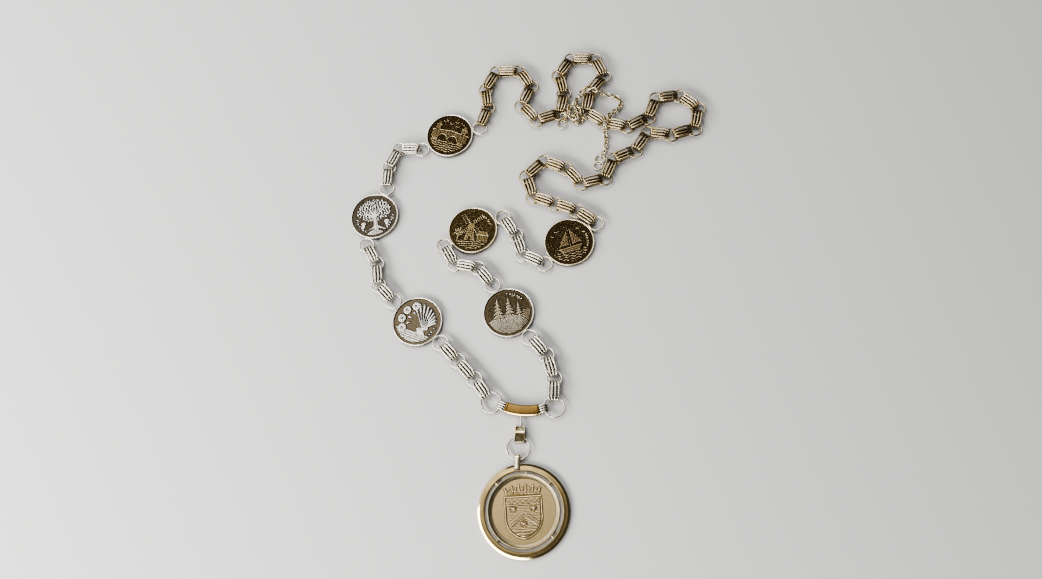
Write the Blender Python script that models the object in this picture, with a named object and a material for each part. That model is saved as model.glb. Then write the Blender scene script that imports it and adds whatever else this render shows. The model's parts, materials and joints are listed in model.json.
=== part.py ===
"""Mayoral chain of office, lying on a table.

One closed chain of wound-wire links and small rings carries six medals in wire-rimmed
settings, a curved bar at the front and, hung below the bar, a round pendant. A fine chain
crosses the plain stretch at the back.

Every length is in millimetres times MM. The origin is the middle of the pendant's back.
+Y runs from the pendant towards the back of the chain and +Z is up from the table.
"""

import math
from collections import namedtuple

import bmesh
import bpy
from mathutils import Matrix, Vector

MM = 0.001

# ---- Driving dimensions ---------------------------------------------------------------
GAP = 0.3 * MM

LINK_LENGTH = 13.4 * MM
LINK_HEIGHT = 5.5 * MM
LINK_HALF_WIDTH = 3.75 * MM
LINK_END_HALF_WIDTH = 1.9 * MM
LINK_WIRE = 1.35 * MM

RING_RADIUS = 5.3 * MM
RING_WIRE = 1.2 * MM
RING_LEVEL = 2.4 * MM
JOINED_RING_LEVEL = 1.8 * MM
TURNED_RING_LEVEL = 2.15 * MM
TURNED_RING_SLOPE = 7.0
BIG_RING_RADIUS = 6.9 * MM
RING_SIDES = 10
BIG_RING_SIDES = 14
WIRE_SIDES = 4

STRAIGHT_REACH = 1.0 * MM
EYELET_REACH = 1.2 * MM
BIG_RING_REACH = 2.9 * MM

MEDAL_RADIUS = 16.5 * MM
MEDAL_RIM = 1.15 * MM
MEDAL_HEIGHT = 2.9 * MM
MEDAL_DISC_HEIGHT = 2.1 * MM
MEDAL_SIDES = 24
EYELET_RADIUS = 5.5 * MM
SOLDER_OVERLAP = 0.35 * MM

BAR_CENTRE = (1.0, 98.7)
BAR_ARC_RADIUS = 39.5 * MM
BAR_FIRST_BEARING = 250.3
BAR_LAST_BEARING = 281.5
BAR_WIDTH = 6.5 * MM
BAR_LEVELS = (0.6 * MM, 4.1 * MM)
BAR_DOME = 0.6 * MM
BAR_LOOP_HEIGHT = 4.5 * MM
BAR_LOOP_WIRE = 1.1 * MM
BAR_LOOP_LENGTH = 9.0 * MM
BAR_LOOP_OUT = 5.7 * MM
BAR_LOOP_HALF_WIDTH = 3.0 * MM
BAR_LOOP_END_HALF_WIDTH = 2.5 * MM
BAR_STEPS = 10

PIN_X = -2.6
PIN_SPAN = (46.6, 58.0)
PIN_RADIUS = 0.5 * MM
PIN_HEAD_RADIUS = 1.1 * MM
PIN_HEAD_LENGTH = 0.9 * MM
PIN_LEVEL = 2.0 * MM

SWIVEL_X = -2.9
SWIVEL_SPAN = (39.7, 49.8)
SWIVEL_WIDTH = 6.2 * MM
SWIVEL_HEIGHT = 4.0 * MM
SWIVEL_STRAP = 0.7 * MM

JUMP_RING_CENTRE = (-3.9, 36.6)
JUMP_RING_RADIUS = 7.5 * MM
JUMP_RING_WIRE = 1.2 * MM
JUMP_RING_LEVEL = 1.95 * MM

BAIL_X = -4.2
BAIL_SPAN = (23.3, 33.3)
BAIL_WIDTH = 3.4 * MM
BAIL_HEIGHT = 3.9 * MM
BAIL_STRAP = 0.7 * MM

PENDANT_RADIUS = 27.4 * MM
PENDANT_BAND = 4.1 * MM
PENDANT_HEIGHT = 2.8 * MM
PENDANT_RIM_RADIUS = 21.5 * MM
PENDANT_RIM = 1.2 * MM
PENDANT_RIM_HEIGHT = 2.6 * MM
PENDANT_DISC_HEIGHT = 2.1 * MM
PENDANT_PIN_BEARINGS = (47, 137, 228, 320)
PENDANT_PIN_RADIUS = 0.6 * MM
PENDANT_SIDES = 40

FINE_CHAIN_RADIUS = 1.25 * MM
FINE_RING_RADIUS = 3.6 * MM
FINE_RING_WIRE = 1.0 * MM
FINE_STEP = 2.4 * MM

# ---- How the chain lies ---------------------------------------------------------------
# Bearings are degrees anticlockwise from +X, seen from above.
Medal = namedtuple("Medal", "name x y eyelet_in eyelet_out finish")
MEDALS = (
    Medal("medal_1", -70.7, 117.4, -42, 140, "silver_relief"),
    Medal("medal_2", -104.7, 192.5, -100, 71, "silver_relief"),
    Medal("medal_3", -55.8, 252.2, -151, 13, "bronze_relief"),
    Medal("medal_4", 27.0, 169.7, 36, -137, "bronze_relief"),
    Medal("medal_5", -36.9, 180.2, 23, -150, "bronze_relief"),
    Medal("medal_6", -11.7, 122.4, 120, -50, "silver_relief"),
)

# Each run goes from one fixed ring to the next; its row is the bearing of every link.
BIG_RINGS = {"big_ring_1": (-21.2, 64.5), "big_ring_2": (17.6, 61.7)}
FRONT_RUNS = (
    ("big_ring_1", "medal_1", (124, 134, 134)),
    ("medal_1", "medal_2", (136, 100, 122)),
    ("medal_2", "medal_3", (87, 69, 10)),
    ("medal_4", "medal_5", (155, 111, 124)),
    ("medal_5", "medal_6", (-60, -12, -50)),
    ("medal_6", "big_ring_2", (-44, -71, -91)),
)
BACK_RUN = (
    71, 98, 62, -2, -57, -114, -50,
    15, 79, 104, 56, -4, -66, -130,
    -100, -36, -15, 24, 68, 4, -42,
    -102, -166, -188, -124, -158, -113, -168,
    133, 158, -137, -73, -22, -22, -37,
)
LINKS_PER_SOLID = 7
LAYING_PASSES = 6

# The fine chain's route: it starts in a small heap, climbs over the back run twice and
# ends beside it.
RoutePoint = namedtuple("RoutePoint", "x y z")
FINE_ROUTE = (
    RoutePoint(27.0, 268.4, 1.4),
    RoutePoint(27.8, 271.4, 1.4),
    RoutePoint(30.2, 273.0, 1.4),
    RoutePoint(32.2, 269.6, 1.4),
    RoutePoint(30.4, 264.6, 1.4),
    RoutePoint(30.0, 259.6, 1.4),
    RoutePoint(31.6, 257.0, 1.4),
    RoutePoint(34.2, 258.4, 2.2),
    RoutePoint(34.3, 261.0, 4.4),
    RoutePoint(34.3, 263.8, 5.0),
    RoutePoint(32.6, 267.4, 4.5),
    RoutePoint(29.0, 268.6, 4.6),
    RoutePoint(27.9, 264.8, 4.6),
    RoutePoint(28.7, 261.7, 4.8),
    RoutePoint(30.8, 262.2, 6.4),
    RoutePoint(31.6, 265.4, 7.5),
    RoutePoint(32.2, 268.8, 7.6),
    RoutePoint(33.0, 272.4, 7.0),
    RoutePoint(34.2, 276.0, 6.8),
    RoutePoint(35.8, 279.4, 7.0),
    RoutePoint(38.9, 281.2, 7.3),
    RoutePoint(42.4, 280.8, 7.4),
    RoutePoint(45.8, 279.6, 7.2),
    RoutePoint(48.6, 278.8, 5.2),
    RoutePoint(51.3, 278.7, 2.6),
    RoutePoint(54.5, 278.4, 1.5),
    RoutePoint(57.9, 277.5, 1.4),
    RoutePoint(60.8, 275.8, 1.4),
    RoutePoint(62.6, 273.2, 1.4),
    RoutePoint(62.7, 270.3, 1.4),
    RoutePoint(60.9, 267.6, 1.6),
    RoutePoint(58.2, 265.2, 2.8),
    RoutePoint(55.8, 261.9, 5.4),
    RoutePoint(53.5, 258.1, 7.2),
    RoutePoint(52.2, 254.6, 7.4),
    RoutePoint(51.4, 251.4, 6.4),
    RoutePoint(51.3, 248.4, 3.4),
    RoutePoint(51.8, 245.4, 1.6),
    RoutePoint(52.0, 241.6, 1.4),
    RoutePoint(51.4, 237.6, 1.4),
    RoutePoint(50.4, 235.0, 1.4),
)

# Small rings in pairs at the fine chain's ends: centre, level, tilt and its axis' bearing.
SmallRing = namedtuple("SmallRing", "x y z tilt bearing")
FINE_RINGS = {
    "fine_chain_rings_1": (
        SmallRing(23.4, 261.3, 2.2, 30, -50),
        SmallRing(22.8, 256.2, 1.5, 12, -96),
    ),
    "fine_chain_rings_2": (
        SmallRing(47.5, 229.6, 0.9, 6, -40),
        SmallRing(46.5, 224.9, 1.3, 10, -100),
    ),
}

# ---- Finishes -------------------------------------------------------------------------
Finish = namedtuple("Finish", "colour roughness metallic")
FINISHES = {
    "silver_wire": Finish((0.80, 0.76, 0.68, 1.0), 0.25, 1.0),
    "gold_bar": Finish((0.66, 0.48, 0.22, 1.0), 0.32, 1.0),
    "gold_pendant": Finish((0.72, 0.60, 0.38, 1.0), 0.30, 1.0),
    "bronze_relief": Finish((0.42, 0.33, 0.19, 1.0), 0.45, 1.0),
    "silver_relief": Finish((0.74, 0.70, 0.60, 1.0), 0.40, 1.0),
}


def bearing(degrees):
    """Unit vector in the table's plane."""
    turn = math.radians(degrees)
    return Vector((math.cos(turn), math.sin(turn), 0.0))


def bend(first, second):
    """Signed turn from one bearing to another, in degrees."""
    return (second - first + 180.0) % 360.0 - 180.0


def flat_point(x, y, z=0.0):
    return Vector((x * MM, y * MM, z))


# ---- Laying the chain -----------------------------------------------------------------
def reach(turn):
    """From a ring's centre to a link's end: more at a bend, so that the corners clear."""
    half = math.radians(abs(turn)) / 2
    return max(STRAIGHT_REACH, GAP / 2 / math.cos(half) + LINK_END_HALF_WIDTH * math.tan(half))


def heading_of(along):
    return math.degrees(math.atan2(along.y, along.x))


def lay_run(start, end, headings, first_reach, last_reach):
    """Ring centres and link places (centre, bearing) from one fixed ring to another.

    The links are walked off one by one, and what the walk misses the far ring by is shared
    out evenly. Walking again along the bearings this gives leaves almost no miss.
    """
    for _ in range(LAYING_PASSES):
        turns = [bend(a, b) for a, b in zip(headings, headings[1:])]
        reaches = [first_reach] + [reach(turn) for turn in turns] + [last_reach]
        walked = [start.copy()]
        for heading, before, after in zip(headings, reaches, reaches[1:]):
            walked.append(walked[-1] + bearing(heading) * (before + LINK_LENGTH + after))
        miss = end - walked[-1]
        rings = [point + miss * index / len(headings) for index, point in enumerate(walked)]
        headings = [heading_of(b - a) for a, b in zip(rings, rings[1:])]
    links = []
    for a, b, before, after in zip(rings, rings[1:], reaches, reaches[1:]):
        along = (b - a).normalized()
        centre = (a + b) / 2 + along * (before - after) / 2
        links.append((centre, heading_of(along)))
    return rings, links


def eyelet_centre(medal, degrees):
    distance = MEDAL_RADIUS + EYELET_RADIUS - SOLDER_OVERLAP
    return flat_point(medal.x, medal.y) + bearing(degrees) * distance


def run_ends(start_name, end_name):
    """Fixed ends of a run and how far a link's end stays from each of their centres."""
    medals = {medal.name: medal for medal in MEDALS}
    ends = []
    for name, eyelet in ((start_name, "eyelet_out"), (end_name, "eyelet_in")):
        if name in BIG_RINGS:
            ends.append((flat_point(*BIG_RINGS[name]), BIG_RING_REACH))
        else:
            ends.append((eyelet_centre(medals[name], getattr(medals[name], eyelet)), EYELET_REACH))
    return ends


def lay(start_name, end_name, headings):
    (start, first_reach), (end, last_reach) = run_ends(start_name, end_name)
    return lay_run(start, end, headings, first_reach, last_reach)


# ---- Shapes, each added to a bmesh ----------------------------------------------------
def place(centre, degrees=0.0):
    return Matrix.Translation(centre) @ Matrix.Rotation(math.radians(degrees), 4, "Z")


def closed_loop(shape, points):
    """Join points into a closed ring of edges."""
    verts = [shape.verts.new(point) for point in points]
    return [shape.edges.new(pair) for pair in zip(verts, verts[1:] + verts[:1])]


def loop_outline(length, height, sink, side, wide, narrow):
    """Points round one side of an upright loop, narrower where the ends curve round."""
    arc_centre = (length - height) / 2
    points = []
    for end in (1, -1):
        for step in range(5):
            turn = math.radians(90 - 45 * step)
            half_width = narrow + (wide - narrow) * math.sin(turn) ** 2
            radius = height / 2 - sink
            points.append((
                end * (arc_centre + radius * math.cos(turn)),
                side * half_width,
                height / 2 + end * radius * math.sin(turn),
            ))
    return points


def add_loop(shape, length, height, wire, wide, narrow, where):
    """An upright loop standing on z = 0, its opening seen from the side."""
    rims = {}
    for side in (1, -1):
        for sink in (0.0, wire):
            points = loop_outline(length, height, sink, side, wide, narrow)
            rims[side, sink] = closed_loop(shape, [where @ Vector(point) for point in points])
    for first, second in (((1, 0.0), (-1, 0.0)), ((1, wire), (-1, wire)),
                          ((1, 0.0), (1, wire)), ((-1, 0.0), (-1, wire))):
        bmesh.ops.bridge_loops(shape, edges=rims[first] + rims[second])


def add_link(shape, where):
    add_loop(shape, LINK_LENGTH, LINK_HEIGHT, LINK_WIRE, LINK_HALF_WIDTH, LINK_END_HALF_WIDTH, where)


def add_ring(shape, radius, wire, where, sides=RING_SIDES):
    """A round wire ring in its own XY plane. The radius is held to the flats' middles."""
    middle = (radius - wire / 2) / math.cos(math.pi / sides)
    stand_up = Matrix.Translation((middle, 0, 0)) @ Matrix.Rotation(math.pi / 2, 4, "X")
    circle = bmesh.ops.create_circle(
        shape, segments=WIRE_SIDES, radius=wire / 2, matrix=where @ stand_up)
    edges = {edge for vert in circle["verts"] for edge in vert.link_edges}
    bmesh.ops.spin(
        shape, geom=circle["verts"] + list(edges), cent=where.translation,
        axis=where.to_3x3() @ Vector((0, 0, 1)), angle=math.tau, steps=sides, use_merge=True)


def add_turned(shape, profile, sides, where=None):
    """Spin a closed profile of (radius, height) points once round Z."""
    where = where or Matrix()
    edges = closed_loop(shape, [where @ Vector((radius, 0, height)) for radius, height in profile])
    verts = list({vert for edge in edges for vert in edge.verts})
    bmesh.ops.spin(
        shape, geom=verts + edges, cent=where.translation, axis=(0, 0, 1),
        angle=math.tau, steps=sides, use_merge=True)


def add_rod(shape, start, end, radius, sides=8):
    along = end - start
    middle = Matrix.Translation((start + end) / 2)
    turn = along.to_track_quat("Z", "Y").to_matrix().to_4x4()
    bmesh.ops.create_cone(
        shape, cap_ends=True, segments=sides, radius1=radius, radius2=radius,
        depth=along.length, matrix=middle @ turn)


def add_headed_pin(shape, head, length):
    """A pin along +Y with its head at the near end."""
    profile = ((0, 0), (PIN_HEAD_RADIUS, 0), (PIN_HEAD_RADIUS, PIN_HEAD_LENGTH),
               (PIN_RADIUS, PIN_HEAD_LENGTH), (PIN_RADIUS, length), (0, length))
    verts = [shape.verts.new(head + Vector((radius, y, 0))) for radius, y in profile]
    edges = [shape.edges.new(pair) for pair in zip(verts, verts[1:])]
    bmesh.ops.spin(
        shape, geom=verts + edges, cent=head, axis=(0, 1, 0), angle=math.tau, steps=8, use_merge=True)


def add_disc(shape, radius, height, sides):
    bmesh.ops.create_cone(
        shape, cap_ends=True, segments=sides, radius1=radius, radius2=radius - GAP / 2,
        depth=height, matrix=Matrix.Translation((0, 0, height / 2)))


def add_strap_loop(shape, outline, width):
    """An upright strap bent to an outline in the YZ plane, extruded to its width along X."""
    edges = closed_loop(shape, [Vector((-width / 2, y, z)) for y, z in outline])
    face = bmesh.ops.contextual_create(shape, geom=edges)["faces"]
    grown = bmesh.ops.extrude_face_region(shape, geom=face)["geom"]
    verts = [item for item in grown if isinstance(item, bmesh.types.BMVert)]
    bmesh.ops.translate(shape, verts=verts, vec=(width, 0, 0))


def ring_corner(radius, height, thickness, ease):
    """Profile of a flat ring whose outer upper edge is eased."""
    inner = radius - thickness
    return ((inner, 0), (radius, 0), (radius, height - ease), (radius - ease, height), (inner, height))


# ---- Objects --------------------------------------------------------------------------
def material(name):
    found = bpy.data.materials.get(name)
    if found:
        return found
    made = bpy.data.materials.new(name)
    made.use_nodes = True
    shader = made.node_tree.nodes["Principled BSDF"]
    shader.inputs["Base Color"].default_value = FINISHES[name].colour
    shader.inputs["Roughness"].default_value = FINISHES[name].roughness
    shader.inputs["Metallic"].default_value = FINISHES[name].metallic
    return made


def mesh_from(shape, name, finish):
    bmesh.ops.remove_doubles(shape, verts=shape.verts, dist=0.0001 * MM)
    bmesh.ops.recalc_face_normals(shape, faces=shape.faces)
    mesh = bpy.data.meshes.new(name)
    shape.to_mesh(mesh)
    shape.free()
    mesh.shade_smooth()
    mesh.set_sharp_from_angle(angle=math.radians(40))
    mesh.materials.append(material(finish))
    return mesh


def put(name, data, centre=(0, 0, 0), degrees=0.0):
    made = bpy.data.objects.new(name, data)
    made.location = centre
    made.rotation_euler.z = math.radians(degrees)
    bpy.context.scene.collection.objects.link(made)
    return made


def weld(target, shape, finish):
    """Union a second shape into an object, as solder joins metal."""
    guide = put(target.name + "_weld", mesh_from(shape, target.name + "_weld", finish))
    guide.parent = target
    guide.hide_render = True
    guide.display_type = "WIRE"
    union = target.modifiers.new("solder", "BOOLEAN")
    union.operation = "UNION"
    union.solver = "EXACT"
    union.object = guide


# ---- Parts ----------------------------------------------------------------------------
def make_front_runs():
    """Links, small rings and big rings between the bar and the medals."""
    link = bmesh.new()
    add_link(link, Matrix())
    link_mesh = mesh_from(link, "link", "silver_wire")
    ring = bmesh.new()
    add_ring(ring, RING_RADIUS, RING_WIRE, Matrix())
    ring_mesh = mesh_from(ring, "ring", "silver_wire")
    link_count = ring_count = 0
    for start, end, headings in FRONT_RUNS:
        rings, links = lay(start, end, headings)
        for centre, degrees in links:
            link_count += 1
            put(f"link_{link_count:02}", link_mesh, centre, degrees)
        for centre in rings[1:-1]:
            ring_count += 1
            put(f"ring_{ring_count:02}", ring_mesh, centre + Vector((0, 0, RING_LEVEL)))
    big = bmesh.new()
    add_ring(big, BIG_RING_RADIUS, RING_WIRE, Matrix(), sides=BIG_RING_SIDES)
    big_mesh = mesh_from(big, "big_ring", "silver_wire")
    for name, (x, y) in BIG_RINGS.items():
        put(name, big_mesh, flat_point(x, y, RING_LEVEL))


def ring_place(centre, level, slope=0.0, towards=0.0):
    """Where a ring lies, raised on the side that faces a bearing."""
    axis = bearing(towards + 90)
    lift = Matrix.Rotation(-math.radians(slope), 4, axis)
    return Matrix.Translation(centre + Vector((0, 0, level))) @ lift


def make_back_run():
    """The long plain run, joined along its thread: each ring rests on the links it holds.

    The last ring of a solid is tilted off the next solid's first link, which leaves a gap.
    """
    rings, links = lay("medal_3", "medal_4", BACK_RUN)
    free_rings = rings[1:-1]
    for first in range(0, len(links), LINKS_PER_SOLID):
        last = first + LINKS_PER_SOLID
        name = f"back_run_{first // LINKS_PER_SOLID + 1}"
        loops = bmesh.new()
        for centre, degrees in links[first:last]:
            add_link(loops, place(centre, degrees))
        run = put(name, mesh_from(loops, name, "silver_wire"))
        joints = bmesh.new()
        for index in range(first, min(last, len(free_rings))):
            if index == last - 1:
                ahead = links[index][1] + bend(links[index][1], links[index + 1][1]) / 2
                where = ring_place(free_rings[index], TURNED_RING_LEVEL, TURNED_RING_SLOPE, ahead)
            else:
                where = ring_place(free_rings[index], JOINED_RING_LEVEL)
            add_ring(joints, RING_RADIUS, RING_WIRE, where)
        weld(run, joints, "silver_wire")


def make_medals():
    """Wire-rimmed settings with two eyelets soldered on, and the discs they hold."""
    disc_meshes = {}
    for finish in ("silver_relief", "bronze_relief"):
        disc = bmesh.new()
        add_disc(disc, MEDAL_RADIUS - MEDAL_RIM - GAP, MEDAL_DISC_HEIGHT, MEDAL_SIDES)
        disc_meshes[finish] = mesh_from(disc, "disc_" + finish, finish)
    for medal in MEDALS:
        centre = flat_point(medal.x, medal.y)
        rim = bmesh.new()
        add_turned(rim, ring_corner(MEDAL_RADIUS, MEDAL_HEIGHT, MEDAL_RIM, 0.4 * MM), MEDAL_SIDES)
        bezel = put(medal.name + "_bezel", mesh_from(rim, medal.name + "_bezel", "silver_wire"), centre)
        eyelets = bmesh.new()
        for degrees in (medal.eyelet_in, medal.eyelet_out):
            off_centre = eyelet_centre(medal, degrees) - centre
            add_ring(eyelets, EYELET_RADIUS, RING_WIRE, ring_place(off_centre, RING_LEVEL))
        weld(bezel, eyelets, "silver_wire")
        put(medal.name, disc_meshes[medal.finish], centre)


def bar_section():
    """The bar's domed section as (distance from the arc's centre, height)."""
    low, high = BAR_LEVELS
    near = BAR_ARC_RADIUS - BAR_WIDTH / 2
    far = BAR_ARC_RADIUS + BAR_WIDTH / 2
    return ((near, low), (far, low), (far, high - BAR_DOME), (far - BAR_WIDTH / 5, high - BAR_DOME / 5),
            (BAR_ARC_RADIUS, high), (near + BAR_WIDTH / 5, high - BAR_DOME / 5), (near, high - BAR_DOME))


def make_bar():
    """Curved plate, an upright wound loop at each end and the pin for the swivel."""
    centre = flat_point(*BAR_CENTRE)
    plate = bmesh.new()
    start = bearing(BAR_FIRST_BEARING)
    points = [centre + start * radius + Vector((0, 0, height)) for radius, height in bar_section()]
    edges = closed_loop(plate, points)
    verts = list({vert for edge in edges for vert in edge.verts})
    bmesh.ops.spin(
        plate, geom=verts + edges, cent=centre, axis=(0, 0, 1), steps=BAR_STEPS,
        angle=math.radians(BAR_LAST_BEARING - BAR_FIRST_BEARING))
    open_ends = [edge for edge in plate.edges if edge.is_boundary]
    bmesh.ops.holes_fill(plate, edges=open_ends)
    bar = put("bar", mesh_from(plate, "bar", "gold_bar"))

    fittings = bmesh.new()
    for degrees, outward in ((BAR_FIRST_BEARING, -90), (BAR_LAST_BEARING, 90)):
        plate_end = centre + bearing(degrees) * BAR_ARC_RADIUS
        middle = plate_end + bearing(degrees + outward) * (BAR_LOOP_OUT - BAR_LOOP_LENGTH / 2)
        add_loop(fittings, BAR_LOOP_LENGTH, BAR_LOOP_HEIGHT, BAR_LOOP_WIRE, BAR_LOOP_HALF_WIDTH,
                 BAR_LOOP_END_HALF_WIDTH, place(middle, degrees + outward))
    add_headed_pin(fittings, flat_point(PIN_X, PIN_SPAN[0], PIN_LEVEL), (PIN_SPAN[1] - PIN_SPAN[0]) * MM)
    weld(bar, fittings, "gold_bar")


def make_swivel():
    """Strap folded into an upright loop; the pin runs in through its top end."""
    low, high = (y * MM for y in SWIVEL_SPAN)
    ease = 0.9 * MM
    outer = ((low + ease, 0), (high - ease, 0), (high, ease), (high, SWIVEL_HEIGHT - ease),
             (high - ease, SWIVEL_HEIGHT), (low + ease, SWIVEL_HEIGHT), (low, SWIVEL_HEIGHT - ease), (low, ease))
    block = bmesh.new()
    add_strap_loop(block, outer, SWIVEL_WIDTH)
    swivel = put("swivel", mesh_from(block, "swivel", "gold_pendant"), (SWIVEL_X * MM, 0, 0))
    hollow = bmesh.new()
    inset = SWIVEL_STRAP
    inner = ((low + inset, inset), (high - inset, inset),
             (high - inset, SWIVEL_HEIGHT - inset), (low + inset, SWIVEL_HEIGHT - inset))
    add_strap_loop(hollow, inner, SWIVEL_WIDTH + 2 * MM)
    pin_start = Vector(((PIN_X - SWIVEL_X) * MM, high - 2 * inset, PIN_LEVEL))
    add_rod(hollow, pin_start, pin_start + Vector((0, 4 * inset, 0)), PIN_RADIUS + GAP)
    cut = put("swivel_hollow", mesh_from(hollow, "swivel_hollow", "gold_pendant"), (SWIVEL_X * MM, 0, 0))
    cut.hide_render = True
    cut.display_type = "WIRE"
    opening = swivel.modifiers.new("hollow", "BOOLEAN")
    opening.operation = "DIFFERENCE"
    opening.solver = "EXACT"
    opening.use_self = True
    opening.object = cut


def make_jump_ring():
    ring = bmesh.new()
    add_ring(ring, JUMP_RING_RADIUS, JUMP_RING_WIRE, Matrix(), sides=16)
    put("jump_ring", mesh_from(ring, "jump_ring", "silver_wire"), flat_point(*JUMP_RING_CENTRE, JUMP_RING_LEVEL))


def make_bail():
    """Strap loop over the jump ring, its front leg running down over the pendant's band."""
    tip, top = (y * MM for y in BAIL_SPAN)
    band_edge = math.sqrt(PENDANT_RADIUS ** 2 - (abs(BAIL_X * MM) - BAIL_WIDTH / 2) ** 2) + GAP
    strap = BAIL_STRAP
    ease = 1.2 * MM
    under = BAIL_HEIGHT - strap
    outer = ((band_edge, 0), (top - ease, 0), (top, ease), (top, BAIL_HEIGHT - ease),
             (top - ease, BAIL_HEIGHT), (tip, BAIL_HEIGHT), (tip, under), (band_edge, under))
    block = bmesh.new()
    add_strap_loop(block, outer, BAIL_WIDTH)
    bail = put("bail", mesh_from(block, "bail", "gold_pendant"), (BAIL_X * MM, 0, 0))
    inner_ease = ease - strap / 2
    hollow = bmesh.new()
    inner = ((band_edge + strap, strap), (top - strap - inner_ease, strap),
             (top - strap, strap + inner_ease), (top - strap, under - inner_ease),
             (top - strap - inner_ease, under), (band_edge + strap, under))
    add_strap_loop(hollow, inner, BAIL_WIDTH + 2 * MM)
    cut = put("bail_hollow", mesh_from(hollow, "bail_hollow", "gold_pendant"), (BAIL_X * MM, 0, 0))
    cut.hide_render = True
    cut.display_type = "WIRE"
    opening = bail.modifiers.new("hollow", "BOOLEAN")
    opening.operation = "DIFFERENCE"
    opening.solver = "EXACT"
    opening.object = cut


def make_pendant():
    """Flat band and inner rim bridged by four pins, and the disc inside the rim."""
    frame = bmesh.new()
    add_turned(frame, ring_corner(PENDANT_RADIUS, PENDANT_HEIGHT, PENDANT_BAND, 0.9 * MM), PENDANT_SIDES)
    add_turned(frame, ring_corner(PENDANT_RIM_RADIUS, PENDANT_RIM_HEIGHT, PENDANT_RIM, 0.4 * MM), PENDANT_SIDES)
    pendant = put("pendant_frame", mesh_from(frame, "pendant_frame", "gold_pendant"))
    pins = bmesh.new()
    level = Vector((0, 0, PENDANT_RIM_HEIGHT / 2))
    for degrees in PENDANT_PIN_BEARINGS:
        inner = bearing(degrees) * (PENDANT_RIM_RADIUS - PENDANT_RIM / 2)
        outer = bearing(degrees) * (PENDANT_RADIUS - PENDANT_BAND * 0.75)
        add_rod(pins, inner + level, outer + level, PENDANT_PIN_RADIUS, sides=6)
    weld(pendant, pins, "gold_pendant")
    disc = bmesh.new()
    add_disc(disc, PENDANT_RIM_RADIUS - PENDANT_RIM - GAP, PENDANT_DISC_HEIGHT, PENDANT_SIDES)
    put("pendant_disc", mesh_from(disc, "pendant_disc", "gold_pendant"))


def smooth_route(points, step):
    """Points at even steps along a Catmull-Rom curve through the route's own points."""
    padded = [points[0] * 2 - points[1]] + points + [points[-1] * 2 - points[-2]]
    dense = []
    for p0, p1, p2, p3 in zip(padded, padded[1:], padded[2:], padded[3:]):
        for index in range(24):
            t = index / 24
            dense.append(0.5 * (
                2 * p1 + (p2 - p0) * t + (2 * p0 - 5 * p1 + 4 * p2 - p3) * t ** 2
                + (3 * p1 - p0 - 3 * p2 + p3) * t ** 3))
    dense.append(points[-1].copy())
    lengths = [0.0]
    for a, b in zip(dense, dense[1:]):
        lengths.append(lengths[-1] + (b - a).length)
    count = round(lengths[-1] / step)
    route, index = [], 0
    for number in range(count + 1):
        target = lengths[-1] * number / count
        while index < len(dense) - 2 and lengths[index + 1] < target:
            index += 1
        share = (target - lengths[index]) / (lengths[index + 1] - lengths[index])
        route.append(dense[index].lerp(dense[index + 1], share))
    return route


def make_fine_chain():
    """The fine chain as one tube along its route, and the small rings at its ends."""
    route = smooth_route([flat_point(point.x, point.y, point.z * MM) for point in FINE_ROUTE], FINE_STEP)
    curve = bpy.data.curves.new("fine_chain", "CURVE")
    curve.dimensions = "3D"
    curve.bevel_depth = FINE_CHAIN_RADIUS
    curve.bevel_resolution = 2
    curve.render_resolution_u = 0
    curve.use_fill_caps = True
    spline = curve.splines.new("POLY")
    spline.points.add(len(route) - 1)
    for slot, point in zip(spline.points, route):
        slot.co = (*point, 1.0)
    curve.materials.append(material("silver_wire"))
    put("fine_chain", curve)
    for name, pair in FINE_RINGS.items():
        places = [
            Matrix.Translation(flat_point(ring.x, ring.y, ring.z * MM))
            @ Matrix.Rotation(math.radians(ring.tilt), 4, bearing(ring.bearing))
            for ring in pair
        ]
        first = bmesh.new()
        add_ring(first, FINE_RING_RADIUS, FINE_RING_WIRE, places[0])
        rings = put(name, mesh_from(first, name, "silver_wire"))
        second = bmesh.new()
        add_ring(second, FINE_RING_RADIUS, FINE_RING_WIRE, places[1])
        weld(rings, second, "silver_wire")


def main():
    for item in list(bpy.data.objects):
        bpy.data.objects.remove(item)
    make_front_runs()
    make_back_run()
    make_medals()
    make_bar()
    make_swivel()
    make_jump_ring()
    make_bail()
    make_pendant()
    make_fine_chain()


main()
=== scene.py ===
"""Mayoral chain of office: the pieces that are seen, and the stage they lie on.

Laid out as an add-on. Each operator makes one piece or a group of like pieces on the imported
frame; main() calls them in order. Lengths are in millimetres times MM.
"""

import json
import math
import random
from collections import namedtuple

import bmesh
import bpy
import numpy as np
from bpy.props import FloatProperty, FloatVectorProperty, IntProperty, PointerProperty
from mathutils import Matrix, Vector

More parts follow.
